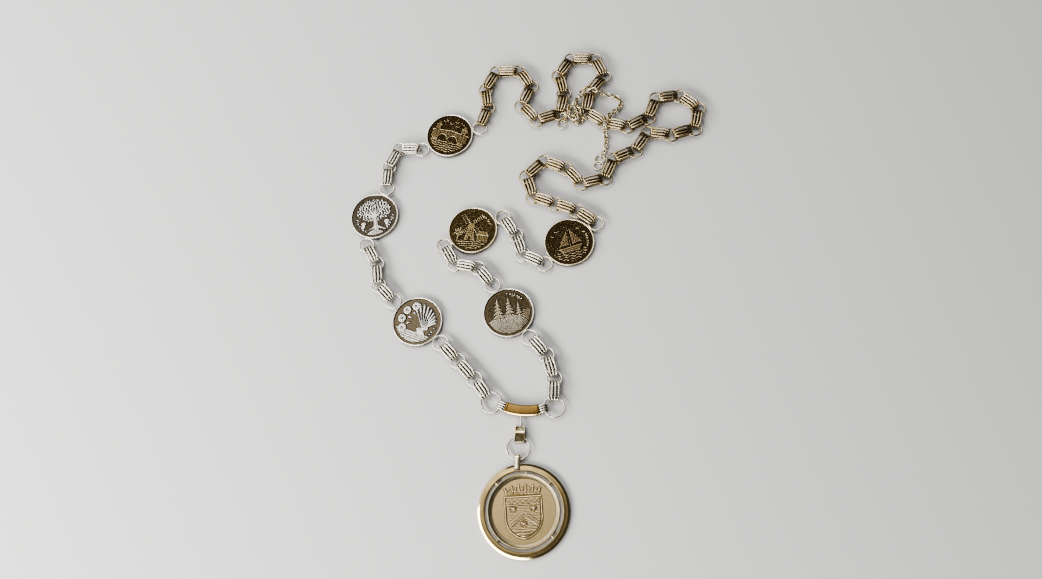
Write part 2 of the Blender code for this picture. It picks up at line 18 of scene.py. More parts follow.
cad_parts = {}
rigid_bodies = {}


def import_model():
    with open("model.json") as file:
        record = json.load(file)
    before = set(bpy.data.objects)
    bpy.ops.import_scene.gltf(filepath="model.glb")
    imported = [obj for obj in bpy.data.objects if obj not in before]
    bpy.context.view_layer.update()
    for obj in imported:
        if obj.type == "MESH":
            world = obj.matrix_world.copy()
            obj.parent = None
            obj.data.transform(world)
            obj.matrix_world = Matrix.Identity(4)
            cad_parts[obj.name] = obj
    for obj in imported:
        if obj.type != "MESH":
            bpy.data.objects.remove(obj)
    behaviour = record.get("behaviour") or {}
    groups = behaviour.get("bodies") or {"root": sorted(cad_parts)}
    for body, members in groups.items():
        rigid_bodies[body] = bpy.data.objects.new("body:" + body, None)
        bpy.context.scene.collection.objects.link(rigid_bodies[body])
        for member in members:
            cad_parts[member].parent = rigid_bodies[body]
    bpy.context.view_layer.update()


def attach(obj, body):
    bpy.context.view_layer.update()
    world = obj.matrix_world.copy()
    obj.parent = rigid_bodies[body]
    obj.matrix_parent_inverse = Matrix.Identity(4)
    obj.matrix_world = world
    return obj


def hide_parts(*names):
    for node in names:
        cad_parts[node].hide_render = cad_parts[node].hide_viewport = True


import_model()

bl_info = {
    "name": "Mayoral chain of office",
    "version": (1, 0, 0),
    "blender": (4, 5, 0),
    "location": "3D View > Sidebar > Chain",
    "description": "Makes a chain of office laid out on a table, and the stage around it",
    "category": "Object",
}

MM = 0.001
MERGE_DISTANCE = 0.0002 * MM

# ---- How the chain lies: the same walk as in the solid model ---------------------------
GAP = 0.3 * MM
LINK_LENGTH = 13.4 * MM
LINK_HEIGHT = 5.5 * MM
LINK_END_HALF_WIDTH = 1.9 * MM
STRAIGHT_REACH = 1.0 * MM
EYELET_REACH = 1.2 * MM
BIG_RING_REACH = 2.9 * MM
MEDAL_RADIUS = 16.5 * MM
EYELET_RADIUS = 5.5 * MM
SOLDER_OVERLAP = 0.35 * MM
LINKS_PER_SOLID = 7
LAYING_PASSES = 6
SMALL_RING_RADIUS = 5.3 * MM
BIG_RING_RADIUS = 6.9 * MM
BIG_RING_LEVEL = 2.4 * MM
EYELET_LEVEL = 2.3 * MM
MEDAL_FACE_RADIUS = 15.05 * MM
MEDAL_FACE_LEVEL = 2.1 * MM

# How a wire is wound: its first and last turn, how far the turns close up towards the ends,
# and the power of the oval that they follow (2 is an ellipse, more is squarer).
Winding = namedtuple("Winding", "first last pinch squareness")
LINK_WINDING = Winding(0.20, 3.80, 0.36, 4.0)
BAR_WINDING = Winding(0.25, 4.02, 0.06, 2.3)

# Seeds of the rings' small tilts, the fine links' rolls and the pendant's grain.
FRONT_SEED = 11
BACK_SEED = 23
FINE_SEED = 5
PENDANT_SEED = 7

# Bearings are degrees anticlockwise from +X, seen from above.
Medal = namedtuple("Medal", "name x y eyelet_in eyelet_out")
MEDALS = (
    Medal("medal_1", -70.7, 117.4, -42, 140),
    Medal("medal_2", -104.7, 192.5, -100, 71),
    Medal("medal_3", -55.8, 252.2, -151, 13),
    Medal("medal_4", 27.0, 169.7, 36, -137),
    Medal("medal_5", -36.9, 180.2, 23, -150),
    Medal("medal_6", -11.7, 122.4, 120, -50),
)
BIG_RINGS = {"big_ring_1": (-21.2, 64.5), "big_ring_2": (17.6, 61.7)}
FRONT_RUNS = (
    ("big_ring_1", "medal_1", (124, 134, 134)),
    ("medal_1", "medal_2", (136, 100, 122)),
    ("medal_2", "medal_3", (87, 69, 10)),
    ("medal_4", "medal_5", (155, 111, 124)),
    ("medal_5", "medal_6", (-60, -12, -50)),
    ("medal_6", "big_ring_2", (-44, -71, -91)),
)
BACK_RUN = (
    71, 98, 62, -2, -57, -114, -50,
    15, 79, 104, 56, -4, -66, -130,
    -100, -36, -15, 24, 68, 4, -42,
    -102, -166, -188, -124, -158, -113, -168,
    133, 158, -137, -73, -22, -22, -37,
)
RoutePoint = namedtuple("RoutePoint", "x y z")
FINE_ROUTE = [RoutePoint(*row) for row in (
    (23.4, 261.4, 2.0), (25.0, 265.8, 1.9), (27.0, 270.8, 1.8), (30.4, 273.0, 1.7),
    (32.2, 269.0, 1.7), (30.2, 264.0, 1.7), (31.0, 258.8, 1.7), (34.6, 257.8, 1.7),
    (36.2, 262.0, 1.8), (35.6, 267.2, 2.6), (32.4, 270.6, 4.6), (28.2, 269.4, 4.8),
    (26.8, 264.6, 4.8), (29.0, 260.2, 4.8), (33.2, 260.4, 4.8), (34.4, 265.0, 5.4),
    (31.4, 268.0, 6.4), (31.4, 272.2, 5.6), (34.2, 275.4, 5.0), (35.6, 279.4, 6.0),
    (38.9, 281.2, 7.1), (42.4, 280.8, 7.2), (45.8, 279.6, 7.0), (48.6, 278.8, 5.0),
    (51.3, 278.7, 2.4), (54.5, 278.4, 1.7), (57.9, 277.5, 1.7), (60.8, 275.8, 1.7),
    (62.6, 273.2, 1.7), (62.7, 270.3, 1.7), (60.9, 267.6, 1.8), (58.2, 265.2, 2.6),
    (55.8, 261.9, 5.0), (53.5, 258.1, 6.8), (52.2, 254.6, 7.2), (51.4, 251.4, 6.4),
    (51.3, 248.4, 3.4), (51.8, 245.4, 1.8), (52.0, 241.6, 1.7), (51.6, 237.4, 1.6),
    (50.4, 234.0, 1.6), (48.9, 231.6, 1.5),
)]
SmallRing = namedtuple("SmallRing", "x y z tilt bearing")
FINE_RINGS = {
    "fine_chain_rings_1": (
        SmallRing(22.6, 262.2, 2.2, 30, -50),
        SmallRing(22.2, 257.4, 1.5, 12, -96),
    ),
    "fine_chain_rings_2": (
        SmallRing(47.5, 229.6, 0.9, 6, -40),
        SmallRing(46.5, 224.9, 1.3, 10, -100),
    ),
}
FINE_RING_RADIUS = 3.6 * MM
FINE_RING_WIRE = 0.95 * MM
FINE_STEP = 3.0 * MM
FINE_LINK_HALF_LENGTH = 2.05 * MM
FINE_LINK_HALF_WIDTH = 1.6 * MM

# ---- Bar, swivel, bail and pendant ------------------------------------------------------
BAR_CENTRE = (1.0, 98.7)
BAR_ARC_RADIUS = 39.5 * MM
BAR_BEARINGS = (250.3, 281.5)
BAR_WIDTH = 6.5 * MM
BAR_LEVELS = (0.6 * MM, 4.1 * MM)
BAR_COIL_LENGTH = 7.0 * MM
BAR_COIL_HEIGHT = 3.9 * MM
BAR_COIL_LEVEL = 0.25 * MM
BAR_COIL_WIRE = 1.1 * MM
BAR_COIL_PITCH = 1.42 * MM
BAR_COIL_OUT = 5.7 * MM
BAR_LINE_INSETS = (1.5 * MM, 0.9 * MM)
BAR_LINE_WIDTH = 0.13 * MM
PIN_FOOT = (-2.6, 46.6)
PIN_LENGTH = 11.4
PIN_LEVEL = 2.0 * MM
SWIVEL_X = -2.9
SWIVEL_SPAN = (39.7, 49.8)
SWIVEL_WIDTH = 6.2 * MM
SWIVEL_HEIGHT = 4.0 * MM
SWIVEL_FLUTES_END = 44.3 * MM
SWIVEL_BARREL_Y = 45.75 * MM
SWIVEL_RIDGES = (47.35 * MM, 48.15 * MM)
JUMP_RING_CENTRE = (-3.9, 36.6)
JUMP_RING_RADIUS = 7.5 * MM
JUMP_RING_WIRE = 1.2 * MM
JUMP_RING_LEVEL = 1.95 * MM
BAIL_X = -4.2
BAIL_SPAN = (23.3, 33.3)
BAIL_WIDTH = 3.4 * MM
BAIL_HEIGHT = 3.9 * MM
BAIL_STRAP = 0.7 * MM
PENDANT_RADIUS = 27.4 * MM
PENDANT_FACE_RADIUS = 20.0 * MM
PENDANT_FACE_LEVEL = 1.58 * MM
PENDANT_CONTRAST = 6.0
PENDANT_PIN_BEARINGS = (47, 137, 228, 320)
PENDANT_PIN_RADIUS = 0.62 * MM
PENDANT_PIN_LENGTH = 2.2 * MM
PENDANT_PIN_OUT = 22.4 * MM
PENDANT_PIN_LEVEL = 1.75 * MM
RIM_TEETH = 128
RIM_MILLED = (18.9, 20.8)


def length(name, description, default):
    return FloatProperty(
        name=name, description=description, default=default, min=0.0, precision=5,
        subtype="DISTANCE", unit="LENGTH")


def grid_steps(name, description, default, most):
    return IntProperty(name=name, description=description, default=default, min=20, max=most)


def power(name, description, default):
    return FloatProperty(name=name, description=description, default=default, min=0.0, unit="POWER")


def colour(name, description, default):
    return FloatVectorProperty(
        name=name, description=description, default=default, min=0.0, max=1.0, size=3,
        subtype="COLOR")


class ChainSizes(bpy.types.PropertyGroup):
    """Wire and relief sizes that the solid model leaves open."""

    link_wire: length("Link wire", "Thickness of the wire that the links are wound from", 1.42 * MM)
    link_pitch: length("Link pitch", "Distance between two turns of a link", 2.05 * MM)
    ring_wire: length("Ring wire", "Thickness of the rings between the links", 1.2 * MM)
    ring_level: length("Ring level", "Height of the rings' middle above the table", 2.6 * MM)
    medal_relief: length("Medal relief", "Height of the relief on the medals", 0.55 * MM)
    pendant_relief: length("Pendant relief", "Height of the relief on the pendant", 0.30 * MM)
    fine_wire: length("Fine wire", "Thickness of the fine chain's wire", 1.05 * MM)
    medal_steps: grid_steps("Medal steps", "Grid steps across a medal's relief", 184, 280)
    pendant_steps: grid_steps("Pendant steps", "Grid steps across the pendant's relief", 280, 300)


class ChainColours(bpy.types.PropertyGroup):
    """Metal colours."""

    silver: colour("Silver", "Bright wire", (0.74, 0.69, 0.60))
    warm_silver: colour("Warm silver", "Wire where its gilding is worn", (0.56, 0.47, 0.33))
    old_gilt: colour("Old gilt", "Wire of the long back run", (0.46, 0.36, 0.20))
    # The tarnish colour is also painted shade: wire sides, undersides and the gaps between turns are mixed
    # towards it.
    tarnish_and_shade: colour("Tarnish", "What has settled between the wires", (0.06, 0.042, 0.026))
    bar_gold: colour("Bar gold", "The bar's satin gold", (0.240, 0.154, 0.058))
    pale_gold: colour("Pale gold", "The pendant's gold", (0.47, 0.355, 0.175))
    champagne: colour("Champagne", "Bail and swivel", (0.72, 0.64, 0.46))


class StageSettings(bpy.types.PropertyGroup):
    """Floor and lights."""

    floor: colour("Floor", "Colour of the plain floor", (0.68, 0.675, 0.66))
    sky: FloatProperty(
        name="Sky", description="Strength of the even light from all sides", default=0.10, min=0.0)
    key: power("Key light", "Power of the large soft light", 8.5)
    fill: power("Fill light", "Power of the long soft light", 17.0)
    bounce: power("Bounce light", "Power of the weak light opposite", 2.0)


# ---- Laying the chain -------------------------------------------------------------------
def bearing(degrees):
    """Unit vector in the table's plane."""
    turn = math.radians(degrees)
    return Vector((math.cos(turn), math.sin(turn), 0.0))


def bend(first, second):
    """Signed turn from one bearing to another, in degrees."""
    return (second - first + 180.0) % 360.0 - 180.0


def flat_point(x, y, z=0.0):
    return Vector((x * MM, y * MM, z))


def reach(turn):
    half = math.radians(abs(turn)) / 2
    return max(STRAIGHT_REACH, GAP / 2 / math.cos(half) + LINK_END_HALF_WIDTH * math.tan(half))


def heading_of(along):
    return math.degrees(math.atan2(along.y, along.x))


def lay_run(start, end, headings, first_reach, last_reach):
    """Ring centres and link places (centre, bearing) from one fixed ring to another."""
    for _ in range(LAYING_PASSES):
        turns = [bend(a, b) for a, b in zip(headings, headings[1:])]
        reaches = [first_reach] + [reach(turn) for turn in turns] + [last_reach]
        walked = [start.copy()]
        for heading, before, after in zip(headings, reaches, reaches[1:]):
            walked.append(walked[-1] + bearing(heading) * (before + LINK_LENGTH + after))
        miss = end - walked[-1]
        rings = [point + miss * index / len(headings) for index, point in enumerate(walked)]
        headings = [heading_of(b - a) for a, b in zip(rings, rings[1:])]
    links = []
    for a, b, before, after in zip(rings, rings[1:], reaches, reaches[1:]):
        along = (b - a).normalized()
        links.append(((a + b) / 2 + along * (before - after) / 2, heading_of(along)))
    return rings, links


def eyelet_centre(medal, degrees):
    distance = MEDAL_RADIUS + EYELET_RADIUS - SOLDER_OVERLAP
    return flat_point(medal.x, medal.y) + bearing(degrees) * distance


def lay(start_name, end_name, headings):
    medals = {medal.name: medal for medal in MEDALS}
    ends = []
    for name, eyelet in ((start_name, "eyelet_out"), (end_name, "eyelet_in")):
        if name in BIG_RINGS:
            ends.append((flat_point(*BIG_RINGS[name]), BIG_RING_REACH))
        else:
            ends.append((eyelet_centre(medals[name], getattr(medals[name], eyelet)), EYELET_REACH))
    (start, first_reach), (end, last_reach) = ends
    return lay_run(start, end, headings, first_reach, last_reach)


def place(centre, degrees=0.0):
    return Matrix.Translation(centre) @ Matrix.Rotation(math.radians(degrees), 4, "Z")


def coil_place(centre, degrees):
    """A link's place. Its own +X always points to a bearing from 45 to 225 degrees."""
    turn = math.radians(degrees)
    return place(centre, degrees if math.sin(turn) >= math.cos(turn) else degrees + 180.0)


def loose_ring_place(centre, level, dice):
    """A ring's place, tilted a little as it rests on its neighbours."""
    tilt = Matrix.Rotation(math.radians(dice.uniform(1.0, 4.5)), 4, bearing(dice.uniform(0, 360)))
    turn = Matrix.Rotation(dice.uniform(0, math.tau), 4, "Z")
    return Matrix.Translation(centre + Vector((0, 0, level))) @ tilt @ turn


# ---- Shapes -----------------------------------------------------------------------------
def clamped(value, low=0.0, high=1.0):
    return min(max(value, low), high)


def scaled(points):
    """Points given in millimetres, as lengths."""
    return [tuple(part * MM for part in point) for point in points]


def open_edges(shape):
    return [edge for edge in shape.edges if edge.is_boundary]


def outline(shape, points, closed=True):
    """Points joined by edges. Gives the new vertices and edges."""
    verts = [shape.verts.new(point) for point in points]
    following = verts[1:] + verts[:1] if closed else verts[1:]
    return verts + [shape.edges.new(pair) for pair in zip(verts, following)]


def add_turned(shape, profile, steps, closed=True):
    """Spin a profile of (radius, height) points once round Z."""
    geom = outline(shape, [(radius, 0, height) for radius, height in profile], closed)
    bmesh.ops.spin(
        shape, geom=geom, cent=(0, 0, 0), axis=(0, 0, 1), angle=math.tau, steps=steps,
        use_merge=True)


def round_top(inner, outer, height, steps):
    """The half-round top of a ring's section, from its outer to its inner side."""
    middle, half = (inner + outer) / 2, (outer - inner) / 2
    turns = [math.pi * step / steps for step in range(steps + 1)]
    return [(middle + half * math.cos(turn), height - half + half * math.sin(turn)) for turn in turns]


def paint_side_shade(shape, shade_strength=1.0):
    """Painted shade: a point attribute that grows as each point turns away from above, so sides and
    undersides come out darker.
    """
    bmesh.ops.recalc_face_normals(shape, faces=shape.faces)
    shape.normal_update()
    groove = shape.verts.layers.float.new("groove")
    for vert in shape.verts:
        vert[groove] = clamped(0.85 - vert.normal.z * 0.95) * shade_strength


def ring_mesh(name, radius, wire, steps=44, sides=10, swell=0.2, shade_strength=1.0):
    """A wire ring lying in its own XY plane, a little thicker where it is soldered shut."""
    shape = bmesh.new()
    middle = radius - wire / 2
    turns = [math.tau * step / sides for step in range(sides)]
    section = [(middle + wire / 2 * math.cos(turn), wire / 2 * math.sin(turn)) for turn in turns]
    add_turned(shape, section, steps)
    for vert in shape.verts:
        turn = math.atan2(vert.co.y, vert.co.x)
        centre = Vector((middle * math.cos(turn), middle * math.sin(turn), 0))
        joint = math.exp(-(turn * middle / (wire * 0.7)) ** 2)
        vert.co = centre + (vert.co - centre) * (1 + swell * joint)
    # Painted shade on the ring's sides and underside.
    paint_side_shade(shape, shade_strength)
    return closed_mesh(shape, name)


def close_up(shape):
    """Merge doubles and turn the faces outwards."""
    bmesh.ops.remove_doubles(shape, verts=shape.verts, dist=MERGE_DISTANCE)
    bmesh.ops.recalc_face_normals(shape, faces=shape.faces)
    shape.normal_update()


def as_mesh(shape, name):
    mesh = bpy.data.meshes.new(name)
    shape.to_mesh(mesh)
    shape.free()
    return mesh


def closed_mesh(shape, name):
    close_up(shape)
    return as_mesh(shape, name)


def stamp(shape, mesh, where):
    """Add a copy of a finished mesh to a shape at a place."""
    copy = mesh.copy()
    copy.transform(where)
    shape.from_mesh(copy)
    bpy.data.meshes.remove(copy)


def wire_mesh(name, points, thickness, sides, closed=False):
    """Round wire along points, as a mesh."""
    curve = bpy.data.curves.new(name, "CURVE")
    curve.dimensions = "3D"
    curve.bevel_depth = thickness / 2
    curve.bevel_resolution = (sides - 4) // 2
    curve.use_fill_caps = not closed
    spline = curve.splines.new("POLY")
    spline.points.add(len(points) - 1)
    spline.use_cyclic_u = closed
    for slot, point in zip(spline.points, points):
        slot.co = (*point, 1.0)
    holder = bpy.data.objects.new(name, curve)
    mesh = bpy.data.meshes.new_from_object(holder)
    bpy.data.objects.remove(holder)
    bpy.data.curves.remove(curve)
    return mesh


def eased_path(points, stride, turn_step):
    """Thin out a dense path: long steps where it is straight, short ones where it bends."""
    spans = [ahead - here for here, ahead in zip(points, points[1:])]
    bends = [0.0] + [before.angle(after, 0.0) for before, after in zip(spans, spans[1:])]
    marks = [0.0]
    for span, bent in zip(spans, bends):
        marks.append(marks[-1] + span.length / stride + bent / turn_step)
    count = max(4, round(marks[-1]))
    path, index = [], 0
    for number in range(count + 1):
        target = marks[-1] * number / count
        while index < len(spans) - 1 and marks[index + 1] < target:
            index += 1
        share = (target - marks[index]) / max(marks[index + 1] - marks[index], 1e-9)
        path.append(points[index].lerp(points[index + 1], share))
    return path


def signed_power(value, exponent):
    return math.copysign(abs(value) ** exponent, value)


def coil_mesh(name, long, high, wire, pitch, winding):
    """Wire wound side by side round an oval former that stands on z = 0.

    The turns run straight over the top and step sideways underneath, and close up only near
    the ends. A point attribute holds tarnish and painted shade: it rises where a point faces into the coil
    or towards the next turn.
    """
    half_long, half_high = (long - wire) / 2, (high - wire) / 2
    first, last, pinch, squareness = winding
    middle = (math.floor(first + 0.5) + math.floor(last - 0.5)) / 2 + 0.5
    dense = []
    steps = round((last - first) * 160)
    for step in range(steps + 1):
        turn = first + (last - first) * step / steps
        angle = math.tau * turn
        x = half_long * signed_power(-math.sin(angle), 2 / squareness)
        z = high / 2 + half_high * signed_power(-math.cos(angle), 2 / squareness)
        sideways = middle - turn - 0.75 / math.tau * math.sin(angle)
        dense.append(Vector((x, sideways * pitch * (1 - pinch * (x / half_long) ** 6), z)))
    path = eased_path(dense, 1.9 * MM, math.radians(20))
    shape = bmesh.new()
    shape.from_mesh(wire_mesh(name, path, wire, 10))
    close_up(shape)
    # Tarnish and painted shade between the turns and inside the coil.
    groove = shape.verts.layers.float.new("groove")
    widest = max(abs(point.y) for point in dense) - pitch / 2
    for vert in shape.verts:
        x, up = vert.co.x / half_long, (vert.co.z - high / 2) / half_high
        outwards = Vector((signed_power(x, squareness - 1) / half_long, 0,
                           signed_power(up, squareness - 1) / half_high)).normalized()
        exposed = vert.normal.dot(outwards)
        if abs(vert.co.y) > widest:
            exposed = max(exposed, vert.normal.y * math.copysign(1, vert.co.y))
        vert[groove] = clamped((0.86 - exposed) / 0.8)
    return as_mesh(shape, name)


def ease_edges(shape, width, angle=35):
    """Round the edges that are sharper than an angle."""
    sharp = [edge for edge in shape.edges
             if edge.is_manifold and edge.calc_face_angle() > math.radians(angle)]
    bmesh.ops.bevel(
        shape, geom=sharp, offset=width, segments=2, profile=0.5, affect="EDGES", material=-1,
        clamp_overlap=True)


def add_block(shape, low, high, ease=0.0, where=None):
    """A block between two corners, its edges rounded, stamped at a place."""
    low, high = Vector(low), Vector(high)
    size = Matrix.Diagonal((*(high - low), 1))
    block = bmesh.new()
    bmesh.ops.create_cube(block, size=1, matrix=Matrix.Translation((low + high) / 2) @ size)
    if ease:
        ease_edges(block, ease)
    mesh = closed_mesh(block, "block")
    stamp(shape, mesh, where or Matrix())
    bpy.data.meshes.remove(mesh)


def put(name, source, finish, nodes, where=None, sharp=50):
    """Make a finished piece from a shape or a copy of a mesh, at a place.

    It stands for its solids and rides on the one body.
    """
    mesh = closed_mesh(source, name) if isinstance(source, bmesh.types.BMesh) else source.copy()
    mesh.transform(where or Matrix())
    mesh.shade_smooth()
    mesh.set_sharp_from_angle(angle=math.radians(sharp))
    mesh.materials.clear()
    mesh.materials.append(finish)
    piece = bpy.data.objects.new(name, mesh)
    bpy.context.scene.collection.objects.link(piece)
    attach(piece, "root")
    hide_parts(*nodes)
    return piece


# ---- Finishes ---------------------------------------------------------------------------
class Signal:
    """A number on its way through a finish. Arithmetic on it adds Math nodes."""

    def __init__(self, finish, socket):
        self.finish = finish
        self.socket = socket

    def math(self, operation, *values):
        node = self.finish.add("ShaderNodeMath", {"operation": operation}, dict(enumerate(values)))
        return Signal(self.finish, node.outputs[0])

    def __add__(self, other):
        return self.math("ADD", self, other)

    __radd__ = __add__

    def __mul__(self, other):
        return self.math("MULTIPLY", self, other)

    __rmul__ = __mul__

    def __sub__(self, other):
        return self.math("SUBTRACT", self, other)

    def __rsub__(self, other):
        return self.math("SUBTRACT", other, self)

    def __truediv__(self, other):
        return self.math("DIVIDE", self, other)

    def __rtruediv__(self, other):
        return self.math("DIVIDE", other, self)

    def root(self):
        return self.math("SQRT", self)

    def between(self, low, high):
        """0 below low, 1 above high, smooth in between."""
        node = self.finish.add(
            "ShaderNodeMapRange", {"interpolation_type": "SMOOTHSTEP", "clamp": True},
            {"Value": self, "From Min": low, "From Max": high})
        return Signal(self.finish, node.outputs["Result"])


class Finish:
    """A metal's material, built up node by node."""

    def __init__(self, name, roughness=0.3, metallic=1.0):
        self.material = bpy.data.materials.new(name)
        self.material.use_nodes = True
        self.tree = self.material.node_tree
        self.shader = self.tree.nodes["Principled BSDF"]
        self.shader.inputs["Roughness"].default_value = roughness
        self.shader.inputs["Metallic"].default_value = metallic
        self.objects = self.add("ShaderNodeTexCoord").outputs["Object"]

    def link(self, value, socket):
        if isinstance(value, Signal):
            value = value.socket
        if isinstance(value, bpy.types.NodeSocket):
            self.tree.links.new(value, socket)
        else:
            socket.default_value = value

    def add(self, kind, settings=None, sockets=None):
        """One node: its settings are set first, then its sockets are set or linked."""
        node = self.tree.nodes.new(kind)
        for name, value in (settings or {}).items():
            if name == "stops":
                ramp = node.color_ramp
                while len(ramp.elements) < len(value):
                    ramp.elements.new(1.0)
                for element, (position, shade) in zip(ramp.elements, value):
                    element.position = position
                    element.color = shade
            else:
                setattr(node, name, value)
        for name, value in (sockets or {}).items():
            self.link(value, node.inputs[name])
        return node

    def attribute(self, name):
        node = self.add("ShaderNodeAttribute", {"attribute_name": name})
        return Signal(self, node.outputs["Fac"])

    def noise(self, size, detail=2.0, vector=None):
        """Soft noise whose patches are about size across."""
        node = self.add(
            "ShaderNodeTexNoise", None,
            {"Vector": vector or self.objects, "Scale": 1 / size, "Detail": detail})
        return Signal(self, node.outputs["Fac"])

    def split(self, vector=None):
        node = self.add("ShaderNodeSeparateXYZ", None, {0: vector or self.objects})
        return [Signal(self, output) for output in node.outputs]

    def mix(self, share, first, second):
        """One colour fading into another."""
        node = self.add(
            "ShaderNodeMix", {"data_type": "RGBA"},
            {"Factor": share, 6: shade(first), 7: shade(second)})
        return node.outputs[2]

    def brushing(self, centre, fine, long):
        """Noise drawn out in circles round an upright axis."""
        offset = self.add(
            "ShaderNodeVectorMath", {"operation": "SUBTRACT"}, {0: self.objects, 1: tuple(centre)})
        x, y, z = self.split(offset.outputs[0])
        radius = (x * x + y * y + 1e-9).root()
        vector = self.add(
            "ShaderNodeCombineXYZ", None,
            {0: x / radius * long, 1: y / radius * long, 2: (radius + z * 0.6) / fine})
        return self.noise(1.0, 3.0, vector.outputs[0])

    def streaks(self, degrees, fine, long):
        """Noise drawn out along a bearing."""
        turn = math.radians(degrees)
        x, y, z = self.split()
        along = x * math.cos(turn) + y * math.sin(turn)
        across = y * math.cos(turn) - x * math.sin(turn)
        vector = self.add(
            "ShaderNodeCombineXYZ", None, {0: along / long, 1: across / fine, 2: z / fine})
        return self.noise(1.0, 2.0, vector.outputs[0])

    def surface(self, base, roughness=None, height=None, depth=0.05 * MM):
        """Feed the shader: colour, roughness and bumps."""
        self.link(shade(base), self.shader.inputs["Base Color"])
        if roughness is not None:
            self.link(roughness, self.shader.inputs["Roughness"])
        if height is not None:
            bump = self.add(
                "ShaderNodeBump", None, {"Strength": 1.0, "Distance": depth, "Height": height})
            self.link(bump.outputs["Normal"], self.shader.inputs["Normal"])
        return self.material


def shade(value):
    """A colour as a shader wants it, with its fourth number."""
    if isinstance(value, (bpy.types.NodeSocket, Signal)):
        return value
    return (*tuple(value)[:3], 1.0)


def toned(value, share):
    """A colour made darker."""
    return [part * share for part in value]


def made(name, maker, *values):
    """The named material, made on first use."""
    return bpy.data.materials.get(name) or maker(name, *values)


def wire_finish(name, bright, worn, tarnish_and_shade, wear=(0.45, 0.75), speckle=0.15):
    """Polished wire, worn in patches, with tarnish and painted shade between its turns and on its sides.
    """
    finish = Finish(name)
    patches = finish.noise(7 * MM, 3.0)
    grain = finish.noise(0.5 * MM, 4.0)
    groove = finish.attribute("groove")
    # Tarnish and painted shade: the shade attribute, with patches and grain, mixes the metal towards the
    # dark colour.
    darkened = (groove + (patches - 0.5) * 0.30 + (grain - 0.5) * speckle).between(0.34, 0.82)
    metal = finish.mix(patches.between(*wear), bright, worn)
    base = finish.mix(darkened, metal, tarnish_and_shade)
    return finish.surface(base, grain * 0.14 + 0.13 + darkened * 0.35, grain, 0.02 * MM)


def relief_finish(name, ground, motif, bright, hollow, mottle, rough=0.42, satin=0.0):
    """Struck metal: dark ground, motifs with rubbed edges painted bright as a highlight, patina in the
    hollows.

    Satin is how strongly crossed polishing marks show.
    """
    finish = Finish(name)
    high, edge, deep = (finish.attribute(part) for part in ("high", "edge", "hollow"))
    clouds = finish.noise(4.5 * MM, 3.0)
    grain = finish.noise(0.45 * MM, 4.0)
    lift = (high + (grain - 0.5) * 0.20 + (clouds - 0.5) * mottle).between(0.25, 0.80)
    base = finish.mix(lift, ground, motif)
    # Rubbed wear and painted highlight: ridges that stand proud are mixed towards the bright colour.
    rub_and_highlight = (edge * high.between(0.0, 0.5) + (clouds - 0.5) * 0.2).between(0.22, 0.70)
    base = finish.mix(rub_and_highlight, base, bright)
    crossed = [finish.streaks(degrees, 0.32 * MM, 1.5 * MM) for degrees in (38, -50)]
    marks = crossed[0] * 0.5 + crossed[1] * 0.5
    base = finish.mix((0.58 - marks).between(0.0, 0.24) * satin, base, hollow)
    darkened = (deep + (clouds - 0.5) * 0.25).between(0.12, 0.50)
    base = finish.mix(darkened, base, hollow)
    return finish.surface(base, rough - rub_and_highlight * 0.12 + grain * 0.08, grain + marks * satin, 0.04 * MM)


def brushed_finish(name, centre, light, dark, rub_and_highlight, fine=0.16 * MM, long=7.0, rough=0.24):
    """Satin gold with brush marks running round an axis, polished edges painted bright as a highlight, and
    painted shade with tarnish in cuts and recesses.
    """
    finish = Finish(name)
    marks = finish.brushing(centre, fine, long)
    clouds = finish.noise(9 * MM, 2.0)
    groove, polish = finish.attribute("groove"), finish.attribute("polish")
    base = finish.mix((marks * 0.55 + clouds * 0.6).between(0.38, 0.80), dark, light)
    # Polished edges with a painted highlight, then painted shade and tarnish where the shade attribute is
    # high.
    base = finish.mix(polish, base, rub_and_highlight)
    base = finish.mix(groove.between(0.2, 0.8), base, toned(dark, 0.16))
    roughness = marks * 0.20 + rough - polish * 0.20
    return finish.surface(base, roughness, marks * (1 - polish * 0.8), 0.018 * MM)


